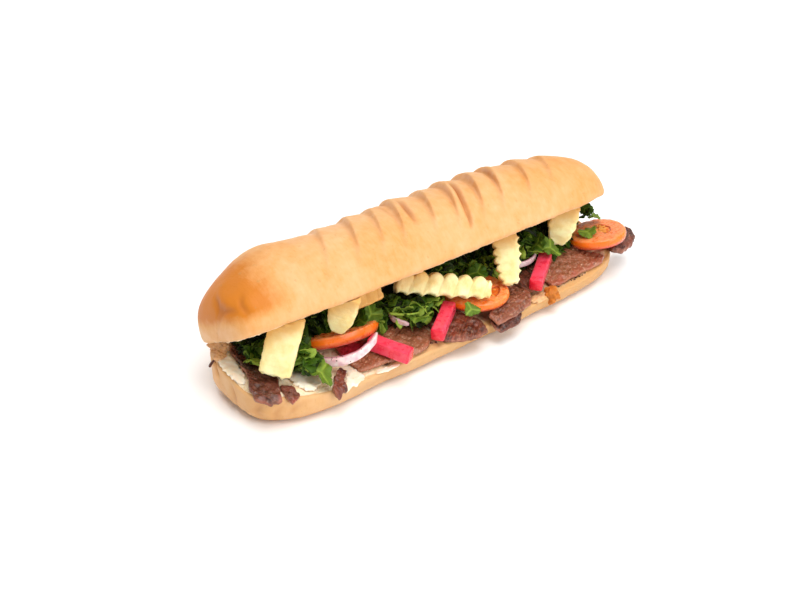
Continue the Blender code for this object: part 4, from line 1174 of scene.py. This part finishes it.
def fry(number, start, end, width, depth, ribbon, swell, pitch, slant, narrow, ragged, golden):
    """Sections whose middle shifts by r (2 c - 1) and whose half sizes grow by s (2 c - 1), where
    c = |cos(pi (distance + slant across) / pitch)|^0.8, all held below the lid."""
    length = math.dist(start, end)
    step = np.linspace(0.0, length, FRY_RINGS)
    taper = narrow + (1.0 - narrow) * np.sin(0.5 * math.pi * np.clip(step / (0.55 * length), 0.0, 1.0))
    close = np.minimum(step, length - step)
    closing = 0.45 + 0.55 * np.sqrt(np.clip(1.0 - (1.0 - np.clip(close / 1.6, 0.0, 1.0)) ** 2, 0.0, 1.0))
    along, across, _ = cross_axes(start, end, FRY_FACING)
    grid = stick(start, end, step, 0.5 * width * taper * closing, 0.5 * depth * taper * closing,
                 FRY_FACING, FRY_POWER, FRY_AROUND)
    centre = grid.mean(axis=1, keepdims=True)
    offset = grid - centre
    phase = step[:, None] + slant * (offset @ across)
    crest = np.abs(np.cos(math.pi * phase / pitch)) ** 0.8
    wave = (2.0 * crest - 1.0) * smooth_step(close / 3.0)[:, None]
    grid = grid + (ribbon * wave)[..., None] * across + (swell * wave)[..., None] * unit(offset)
    grid = grid + unit(offset) * (0.16 * rough(grid, 6.0, 210 + number, 4))[..., None]
    torn = ragged * (0.9 * rough(grid, 3.5, 230 + number, 2) + 0.3) * np.exp(-close / 1.5)[:, None]
    grid = grid + torn[..., None] * along * np.sign(length / 2.0 - step)[:, None, None]
    grid[..., 2] = np.minimum(grid[..., 2], under_lid(grid[..., 1]) - 0.5)
    crest = crest if swell > 0.3 else np.full(crest.shape, 0.5)
    # Painted shade for the lid's shadow: darker close under the lid, and over the whole of a fry in its
    # shadow.
    gap = under_lid(grid[..., 1]) - grid[..., 2]
    under = np.maximum(golden, 0.85 * (1.0 - smooth_step((gap - 1.0) / 12.0)))
    add_surface(f"crinkle_fry_{number:02d}", grid, potato, (f"fry_{number:02d}",),
                {"crest": crest, "under": under}, caps=True)


for number, row in enumerate(FRIES, 1):
    fry(number, *row)

# %% [markdown]
# The parsley is chopped small: curled bits of leaf, whole leaves and pale stems, heaped on the
# meat. Some two thousand bits lie over a nearly black ridge that fills the inside of the heap, a
# painted shade for its depth. The green runs from nearly black, painted shade for the gaps, to a
# light yellow green, painted light for leaves that face up: every leaf carries its own tone, partly
# random and partly this painted light and shade, and a noise darkens it in spots.

# %% Parsley
parsley, tree, place, (tone,) = food("chopped_parsley", {
    "IOR": 1.4, "Specular IOR Level": 0.25, "Subsurface Weight": 0.1,
    "Subsurface Radius": (0.4, 1.0, 0.2), "Subsurface Scale": 0.001,
}, ("tone",))
spot = node(tree, "TexNoise", (place, per_metre(2.0), 3.0, 0.55))
# The darkest tones are painted shade and the lightest painted light; between them the tone differs from
# leaf to leaf.
leaf_tint = layered(tree, "#0c1102", (
    (node(tree, "MapRange", (tone, 0.0, 0.5)), "#3c5c0b"),
    (node(tree, "MapRange", (tone, 0.5, 1.0)), "#a2bc48"),
    (node(tree, "MapRange", (spot, 0.3, 0.7, 0.0, 0.35)), "#2a3c06"),
))
sheen = node(tree, "TexNoise", (place, per_metre(1.5), 3.0, 0.55))
crinkle = node(tree, "TexNoise", (place, per_metre(0.8), 2.0, 0.55))
gloss = node(tree, "MapRange", (sheen, 0.3, 0.7, 0.35, 0.6))
finish_food(parsley, leaf_tint, gloss, ((crinkle, 0.15),))

# %% [markdown]
# The ridge inside the heap is one skin along X. Its foot follows three soft bulges, its crest stays
# below the lid, and its section climbs the front as a sine, runs back and comes down out of sight.

# %% The inside of the heap
LENGTHWISE = 230
# Points along the section: up the front, over the top, down the back, and along the bottom
CLIMB, TOP, FALL, BOTTOM = 16, 8, 5, 6


def heap_front(x):
    """Y of the foot of the heap: the farthest forward of three bells, less 2 mm."""
    centre = -17.5 * np.exp(-(((x + 22.0) / 26.0) ** 2))
    left = -22.0 * np.exp(-(((x + 97.0) / 9.5) ** 2))
    right = -10.0 * np.exp(-(((x - 70.0) / 40.0) ** 2))
    return np.minimum.reduce([centre, left, right]) - 2.0


def heap_height(x, y, share):
    """Height on the heap: the meat below, plus a share of the way up to its crest, which waves
    along X and stays 1.5 mm below the lid."""
    end = smooth_step((121.0 - np.abs(x)) / 14.0)
    crest = 32.0 + 1.6 * np.sin(0.21 * x) + np.sin(0.53 * x + 1.0)
    low = cut_face(x, y) + 4.4 + 3.6 * smooth_step((-y - 10.0) / 8.0)
    high = np.minimum(crest, under_lid(y) - 1.5)
    return low + share * end * np.maximum(high - low, 0.8)


x = np.linspace(-118.0, 118.0, LENGTHWISE)[:, None]
rise = np.concatenate([np.linspace(0.0, 1.0, CLIMB), np.ones(TOP), np.linspace(1.0, 0.0, FALL),
                       np.zeros(BOTTOM)])
out = np.concatenate([np.linspace(0.6, 11.0, CLIMB), np.linspace(12.0, 24.0, TOP),
                      np.full(FALL, 25.0), np.linspace(22.0, 4.0, BOTTOM)])
y = heap_front(x) + out[None]
share = np.sin(0.5 * math.pi * rise)[None]
grid = np.stack([np.repeat(x, len(out), axis=1), y, heap_height(x, y, 0.93 * share)], axis=-1)
grid[..., 2] += 0.5 * rough(grid, 5.0, 250) * share - 0.5
# The ridge is nearly black: painted shade for the depth of the heap.
tone = np.full(grid.shape[:2], 0.05)
add_surface("parsley_core", grid, parsley, ("parsley_heap",), {"tone": tone}, caps=True)

# %% [markdown]
# One bit of leaf: its outline is a circle whose radius follows lobes and teeth. Its height bends
# with the second and third harmonic of the angle and with the distance along the leaf, so that it
# curls over, and top and bottom lie a fraction of a millimetre apart. Small bits have one ring of
# points and larger leaves have three. Only a few different bits are made, and each is used many
# times, turned and scaled at random, so that a heap costs little.

# %% Bits of leaf


def leaf_bit(draw, points, rings, thick, curl, notch):
    """Points and faces of a thin closed leaf of radius about 1. Its edge is three lobes,
    1 - 2 notch (1 - |cos(1.5 a)|^0.8), and every second point lies further in by the share notch."""
    angle = np.linspace(0.0, 2.0 * math.pi, points, endpoint=False)
    lobes = 1.0 - 2.0 * notch * (1.0 - np.abs(np.cos(1.5 * angle + draw.uniform(-0.4, 0.4))) ** 0.8)
    teeth = np.where(np.arange(points) % 2 == 0, 1.0, 1.0 - notch) * draw.uniform(0.92, 1.08, points)
    share = np.linspace(0.0, 1.0, rings + 1)[1:, None]
    radius = share * lobes * (1.0 + (teeth - 1.0) * share)
    x, y = radius * np.cos(angle), draw.uniform(0.55, 0.9) * radius * np.sin(angle)
    z = draw.uniform(0.1, 0.4) * share**2 * np.cos(2.0 * angle + draw.uniform(0, 6))
    z = z + draw.uniform(0.05, 0.2) * share**2 * np.sin(3.0 * angle + draw.uniform(0, 6))
    z = z - curl * (x - 0.2) ** 2 + 0.35 * np.abs(y) * draw.uniform(-1.0, 1.0)
    sheet = np.concatenate([[(0.0, 0.0, -0.04 * curl)], np.stack([x, y, z], -1).reshape(-1, 3)])
    side = np.array([0.0, 0.0, thick])
    k = np.arange(points)
    n = (k + 1) % points
    faces = [np.stack([0 * k, 1 + k, 1 + n], -1)]
    for ring in range(rings - 1):
        inner, outer = 1 + ring * points, 1 + (ring + 1) * points
        faces.append(np.stack([inner + k, outer + k, outer + n], -1))
        faces.append(np.stack([inner + k, outer + n, inner + n], -1))
    top = np.concatenate(faces)
    low = top[:, ::-1] + len(sheet)
    a, b = 1 + (rings - 1) * points + k, 1 + (rings - 1) * points + n
    walls = np.concatenate([np.stack([a, a + len(sheet), b + len(sheet)], -1),
                            np.stack([a, b + len(sheet), b], -1)])
    return np.concatenate([sheet + side, sheet - side]), np.concatenate([top, low, walls])


for rings, points in ((1, 10), (3, 18)):
    bit = leaf_bit(np.random.default_rng(1), points, rings, 0.1, 0.3, 0.2)
    print("a leaf with", rings, "rings of", points, "points has", len(bit[1]), "faces")


def random_turns(draw, count, tilt):
    """Rotation matrices Z(a) Y(b) X(c): any heading a, and tilts b and c of about tilt radians."""
    a = draw.uniform(0, 2 * math.pi, count)
    b, c = draw.normal(0, tilt, count), draw.normal(0, tilt, count)
    zero, one = np.zeros(count), np.ones(count)
    turn_z = [[np.cos(a), -np.sin(a), zero], [np.sin(a), np.cos(a), zero], [zero, zero, one]]
    turn_y = [[np.cos(b), zero, np.sin(b)], [zero, one, zero], [-np.sin(b), zero, np.cos(b)]]
    turn_x = [[one, zero, zero], [zero, np.cos(c), -np.sin(c)], [zero, np.sin(c), np.cos(c)]]
    turn_z, turn_y, turn_x = (np.array(rows).transpose(2, 0, 1) for rows in (turn_z, turn_y, turn_x))
    return turn_z @ turn_y @ turn_x


def scatter(name, spots, sizes, turns, tones, kinds, material):
    """Copies each kind of small mesh to its share of the spots, in whole arrays, as one piece: a
    point becomes turn @ point * size + spot."""
    points, faces, paint = [], [], []
    total = 0
    for number, (shape, corners) in enumerate(kinds):
        own = np.arange(number, len(spots), len(kinds))
        placed = np.einsum("nij,pj->npi", turns[own], shape) * sizes[own, None, None] + spots[own, None]
        base = total + np.arange(len(own))[:, None, None] * len(shape)
        faces.append((corners[None] + base).reshape(-1, corners.shape[1]))
        points.append(placed.reshape(-1, 3))
        paint.append(np.repeat(tones[own], len(shape)))
        total += placed.shape[0] * placed.shape[1]
    add_piece(name, np.concatenate(points), np.concatenate(faces).tolist(), material,
              paint={"tone": np.concatenate(paint)})


# %% [markdown]
# Bits that would lie inside a fry, a slice or the bread are skipped. A search tree over the packed
# solids tells for each spot how far the nearest surface is and which side of it the spot is on.

# %% Where parsley may lie
points, faces = [], []
for name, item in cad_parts.items():
    if not name.startswith("parsley"):
        mesh = item.data
        co = np.empty(len(mesh.vertices) * 3, np.float32)
        mesh.vertices.foreach_get("co", co)
        mesh.calc_loop_triangles()
        corner = np.empty(len(mesh.loop_triangles) * 3, np.int32)
        mesh.loop_triangles.foreach_get("vertices", corner)
        faces.append(corner.reshape(-1, 3) + sum(len(p) for p in points))
        points.append(co.reshape(-1, 3) / MM)
solids = BVHTree.FromPolygons(np.concatenate(points).tolist(), np.concatenate(faces).tolist())


def free(spot, clear):
    """Whether a spot lies outside every solid by more than clear mm."""
    found, normal, _, gap = solids.find_nearest(Vector(spot))
    return gap > clear and (Vector(spot) - found).dot(normal) > 0.0


def kept(spots, clear):
    """Numbers of the spots that are free by their own clearances."""
    return np.array([k for k, spot in enumerate(spots) if free(spot, clear[k])])


def on_heap(draw, count, ahead, above):
    """Random spots over the front slope of the heap, above it by the given range."""
    x = draw.uniform(-117.0, 117.0, count)
    t = draw.uniform(0.0, 1.0, count)
    y = heap_front(x) - ahead + (13.0 + ahead) * t
    z = heap_height(x, y, np.sin(0.5 * math.pi * np.clip(t * 1.15, 0.0, 1.0)))
    return np.stack([x, y, z + draw.uniform(*above, count)], axis=-1)


def leaf_tones(draw, spots, middle, spread):
    """Random tones about middle, with painted shade: darker deeper in the heap and close under the lid.
    """
    depth = smooth_step((spots[:, 1] - heap_front(spots[:, 0]) - 2.0) / 10.0)
    close = 1.0 - smooth_step((under_lid(spots[:, 1]) - spots[:, 2] - 6.0) / 10.0)
    return np.clip(draw.normal(middle, spread, len(spots)) - 0.4 * depth - 0.35 * close, 0.0, 1.0)


BIT_TRIES, LEAF_TRIES = 1500, 900
draw = np.random.default_rng(260)
spots = on_heap(draw, BIT_TRIES, 1.5, (-0.8, 0.6))
sizes = draw.uniform(1.6, 3.4, len(spots))
good = kept(spots, 0.3 + 0.2 * sizes)
spots, sizes = spots[good], sizes[good]
kinds = [leaf_bit(draw, 10, 1, 0.14, 0.3, 0.24) for _ in range(8)]
# The small bits are kept dark, painted shade for the gaps between the leaves.
tones = leaf_tones(draw, spots, 0.1, 0.14)
scatter("parsley_bits", spots, sizes, random_turns(draw, len(spots), 0.8),
        tones, kinds, parsley)
spots = on_heap(draw, LEAF_TRIES, 2.2, (0.4, 3.4))
sizes = draw.uniform(3.6, 7.6, len(spots))
good = kept(spots, 0.4 + 0.42 * sizes)
spots, sizes = spots[good], sizes[good]
kinds = [leaf_bit(draw, 18, 3, 0.04, draw.uniform(0.4, 1.2), draw.uniform(0.08, 0.2))
         for _ in range(10)]
tones = leaf_tones(draw, spots, 0.58, 0.3)
scatter("parsley_leaves", spots, sizes, random_turns(draw, len(spots), 0.7),
        tones, kinds, parsley)

# %% [markdown]
# Some leaves show whole: the loose ones, which are solids of their own, and a few that stand out of
# the heap. These get a finer grid, with a sunken vein along each lobe and small teeth at the edge,
# because a viewer looks at them one by one.

# %% Whole leaves of parsley
# Centre, size, heading, pitch and roll in degrees, tone, and how deep the cuts between lobes are
LOOSE_LEAVES = (
    ((-94.0, -29.5, 24.0), 10.5, -100.0, 16.0, -14.0, 0.74, 0.26),
    ((0.5, -37.3, 28.7), 5.6, -30.0, 20.0, 35.0, 0.72, 0.32),
    ((77.5, -20.0, 33.0), 8.0, -70.0, 30.0, 10.0, 0.7, 0.2),
    ((111.8, -17.2, 31.0), 7.0, 10.0, -8.0, -8.0, 0.78, 0.15),
    ((118.0, 2.0, 32.5), 8.0, 40.0, 35.0, 30.0, 0.3, 0.3),
)
LEAF_POINTS, LEAF_RINGS = 132, 14


def turned(points, heading, pitch, roll):
    """Points turned by roll about X, then pitch about Y, then heading about Z, in degrees."""
    turns = ((heading, "Z"), (pitch, "Y"), (roll, "X"))
    first, second, third = (Matrix.Rotation(math.radians(value), 3, axis) for value, axis in turns)
    return points @ np.array(first @ second @ third).T


def whole_leaf(number, centre, size, heading, pitch, roll, tone, cuts):
    """A leaf whose radius is three lobes, 1 - cuts (1 - |cos(1.5 a)|^0.8), times seventeen teeth,
    its height a saddle and a wave that grow towards the edge, less a groove along each lobe."""
    draw = np.random.default_rng(70 + number)
    angle = np.linspace(0.0, 2.0 * math.pi, LEAF_POINTS, endpoint=False)[None]
    lobe = 1.0 - cuts * (1.0 - np.abs(np.cos(1.5 * angle)) ** 0.8)
    teeth = 1.0 - 0.12 * np.abs(((angle * 17.0 / (2.0 * math.pi)) % 1.0) * 2.0 - 1.0)
    edge = size * lobe * teeth * 0.98
    outward = np.linspace(0.03, 1.0, LEAF_RINGS)
    share = np.concatenate([outward, outward[::-1]])[:, None]
    side = np.repeat([1.0, -1.0], LEAF_RINGS)[:, None]
    x, y = share * edge * np.cos(angle), draw.uniform(0.6, 0.9) * share * edge * np.sin(angle)
    rib = 0.05 * size * np.exp(-((np.sin(1.5 * angle) * share * 5.0) ** 2))
    z = 0.16 * size * share**2 * np.cos(2.0 * angle + draw.uniform(0, 3)) - rib
    z = z + 0.08 * size * share**3 * np.sin(7.0 * angle + draw.uniform(0, 3))
    grid = np.stack([x, y, z + 0.22 * side], axis=-1)
    grid = turned(grid.reshape(-1, 3), heading, pitch, roll).reshape(grid.shape) + np.array(centre)
    shade = np.clip(tone + 0.25 * np.exp(-((np.sin(1.5 * angle) * share * 6.0) ** 2)) - 0.1, 0.0, 1.0)
    name = f"parsley_leaf_{number:02d}"
    stands_for = (name,) if number <= len(LOOSE_LEAVES) else ()
    add_surface("whole_" + name, grid, parsley, stands_for, {"tone": shade}, caps=True)


# Leaves of the heap that show whole, described as the loose ones are
HEAP_LEAVES = (
    ((-111.0, 3.0, 31.5), 9.5, 20.0, 12.0, -28.0, 0.4, 0.15),
    ((-100.5, -15.5, 26.5), 8.0, -50.0, 20.0, -25.0, 0.6, 0.25),
    ((-49.0, -13.0, 33.0), 8.5, 200.0, 15.0, -35.0, 0.68, 0.25),
    ((-57.5, -12.5, 32.5), 7.5, 40.0, -18.0, -30.0, 0.55, 0.25),
    ((-29.0, -26.5, 29.5), 8.0, -20.0, 10.0, -20.0, 0.65, 0.25),
    ((-12.0, -17.5, 30.5), 7.5, 60.0, 10.0, -30.0, 0.8, 0.2),
    ((22.5, -17.5, 35.0), 7.0, 150.0, 10.0, -25.0, 0.5, 0.25),
    ((72.0, -14.0, 34.5), 9.0, 30.0, -15.0, -25.0, 0.55, 0.2),
    ((121.0, -4.5, 34.5), 8.0, 35.0, 20.0, -45.0, 0.3, 0.25),
    ((122.5, -3.5, 38.0), 7.5, 100.0, -20.0, -45.0, 0.45, 0.2),
    ((126.8, -8.0, 32.6), 5.4, 51.0, 14.0, 0.0, 0.8, 0.1),
)
for number, row in enumerate(LOOSE_LEAVES + HEAP_LEAVES, 1):
    whole_leaf(number, *row)

# %% [markdown]
# Stems are thin pale tubes. Each follows a parabola through three points, and its ends close to a
# point. A shred of beef that hangs over the torn left end has the same shape, so one function
# makes both.

# %% Stems of parsley and a shred of beef
# Both ends and a point half way, in order along the line
STEMS = (
    ((-104.0, -11.0, 27.0), (-101.0, -16.5, 25.0), (-96.0, -21.0, 24.5)),
    ((-92.0, -12.0, 27.5), (-97.0, -17.0, 25.8), (-95.0, -24.0, 24.0)),
    ((-40.0, -16.0, 31.5), (-33.0, -21.5, 30.5), (-25.0, -24.0, 30.0)),
    ((62.0, -9.0, 31.0), (68.0, -14.0, 31.5), (73.0, -19.5, 31.0)),
)
BEEF_SHRED = ((-132.9, 15.6, 19.2), (-131.4, 15.2, 22.0), (-126.8, 14.0, 25.2))
STEM_RINGS, STEM_AROUND, STEM_THICKNESS = 40, 12, 0.75


def thin_strand(name, ends, material, tone):
    """A tube along (1 - s)^2 first + 2 s (1 - s) handle + s^2 last, whose handle makes it pass
    through the middle point, and whose radius falls to nothing at both ends."""
    first, middle, last = np.array(ends)
    s = np.linspace(0.0, 1.0, STEM_RINGS)[:, None]
    turn = np.linspace(0.0, 2.0 * math.pi, STEM_AROUND, endpoint=False)[None]
    handle = 2.0 * middle - 0.5 * (first + last)
    line = (1.0 - s) ** 2 * first + 2.0 * s * (1.0 - s) * handle + s**2 * last
    ahead = unit(np.gradient(line, axis=0))
    aside = unit(np.cross(ahead, (0.0, 0.0, 1.0)))
    up = np.cross(aside, ahead)
    thick = STEM_THICKNESS * (1.0 - (2.0 * s - 1.0) ** 10) * (1.1 - 0.4 * s)
    ring = np.cos(turn)[..., None] * aside[:, None] + np.sin(turn)[..., None] * up[:, None]
    grid = line[:, None] + thick[..., None] * ring
    add_surface(name, grid, material, (), {"tone": np.full(grid.shape[:2], tone)}, caps=True)


for number, ends in enumerate(STEMS, 1):
    thin_strand(f"parsley_stem_{number}", ends, parsley, 0.95)
thin_strand("beef_shred", BEEF_SHRED, beef, 0.0)

# %% [markdown]
# Small dark bits of charred meat have fallen to the foot of the filling. They are the same kind of
# small lump as a bit of leaf, only thicker, and take the beef's material.

# %% Charred bits
draw = np.random.default_rng(340)


def sprinkle(name, number, low, high, sizes, material, tone):
    """Scatters lumps between x = low and high, on the cut face near its front rim."""
    x = draw.uniform(low, high, number)
    y = draw.uniform(-34.0, -29.0, number)
    z = cut_face(x, y) + 0.5
    turns = random_turns(draw, number, 1.5)
    kinds = [leaf_bit(draw, 8, 1, 0.4, 0.2, 0.24) for _ in range(4)]
    tones = np.full(number, tone)
    spots = np.stack([x, y, z], -1)
    scatter(name, spots, draw.uniform(*sizes, number), turns, tones, kinds, material)


sprinkle("charred_bits", 12, 73.0, 98.0, (0.4, 0.9), beef, 0.1)
sprinkle("charred_bits_left", 22, -72.0, -20.0, (0.4, 1.1), beef, 0.1)

# %% [markdown]
# A plain pale floor takes a soft shadow, and three broad lights stand for a bright studio tent.
# The camera stands where the photograph was taken from: in front and to the left, a little above.

# %% Floor, light and camera
floor_paint, *_ = food("white_paper", {"Roughness": 0.9, "Base Color": colour("#fdfdfd")})
mesh = bpy.data.meshes.new("floor")
mesh.from_pydata([(-4, -4, 0), (4, -4, 0), (4, 4, 0), (-4, 4, 0)], [], [(0, 1, 2, 3)])
floor = bpy.data.objects.new("floor", mesh)
floor.data.materials.append(floor_paint)
bpy.context.scene.collection.objects.link(floor)
floor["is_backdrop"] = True


def area_light(name, place, aim, size, power):
    """A square soft light at place that looks at aim."""
    lamp = bpy.data.lights.new(name, "AREA")
    lamp.size, lamp.energy = size, power
    item = bpy.data.objects.new(name, lamp)
    item.location = place
    item.rotation_euler = (Vector(aim) - Vector(place)).to_track_quat("-Z", "Y").to_euler()
    bpy.context.scene.collection.objects.link(item)


area_light("key", (-0.1, -0.9, 3.2), (0.0, 0.0, 0.0), 2.2, 84.0)
area_light("fill", (0.6, -2.6, 1.2), (0.0, 0.0, 0.03), 1.8, 38.0)
area_light("back", (0.6, 2.4, 2.4), (0.0, 0.0, 0.03), 1.8, 28.0)
world = bpy.data.worlds.new("studio")
bpy.context.scene.world = world
world.use_nodes = True
world.node_tree.nodes["Background"].inputs["Color"].default_value = (1.0, 0.99, 0.97, 1.0)
world.node_tree.nodes["Background"].inputs["Strength"].default_value = 0.45
bpy.context.scene.view_settings.view_transform = "Standard"

AZIMUTH, ELEVATION = math.radians(38.67), math.radians(31.6)
TARGET = Vector((-0.0260, -0.0127, 0.0300))
DISTANCE = 0.6469
back = Vector((-math.sin(AZIMUTH) * math.cos(ELEVATION), -math.cos(AZIMUTH) * math.cos(ELEVATION),
               math.sin(ELEVATION)))
lens = bpy.data.cameras.new("camera")
lens.lens, lens.sensor_width, lens.clip_start = 52.7, 36.0, 0.02
camera = bpy.data.objects.new("camera", lens)
camera.location = TARGET + back * DISTANCE
camera.rotation_euler = (-back).to_track_quat("-Z", "Y").to_euler()
bpy.context.scene.collection.objects.link(camera)
bpy.context.scene.camera = camera
print("camera", DISTANCE, "m away,", round(lens.lens, 1), "mm lens")

# %% [markdown]
# The dressed sandwich should fill the same space as its solids. Both boxes are measured the same
# way and kept side by side, and the box of the finished model is printed.

# %% The size of the finished model beside that of the solids
visual_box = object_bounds()
sizes = {"cad": [list(corner) for corner in cad_box], "visual": [list(corner) for corner in visual_box]}
print("box of the visual model:", [round(v, 4) for corner in visual_box for v in corner])
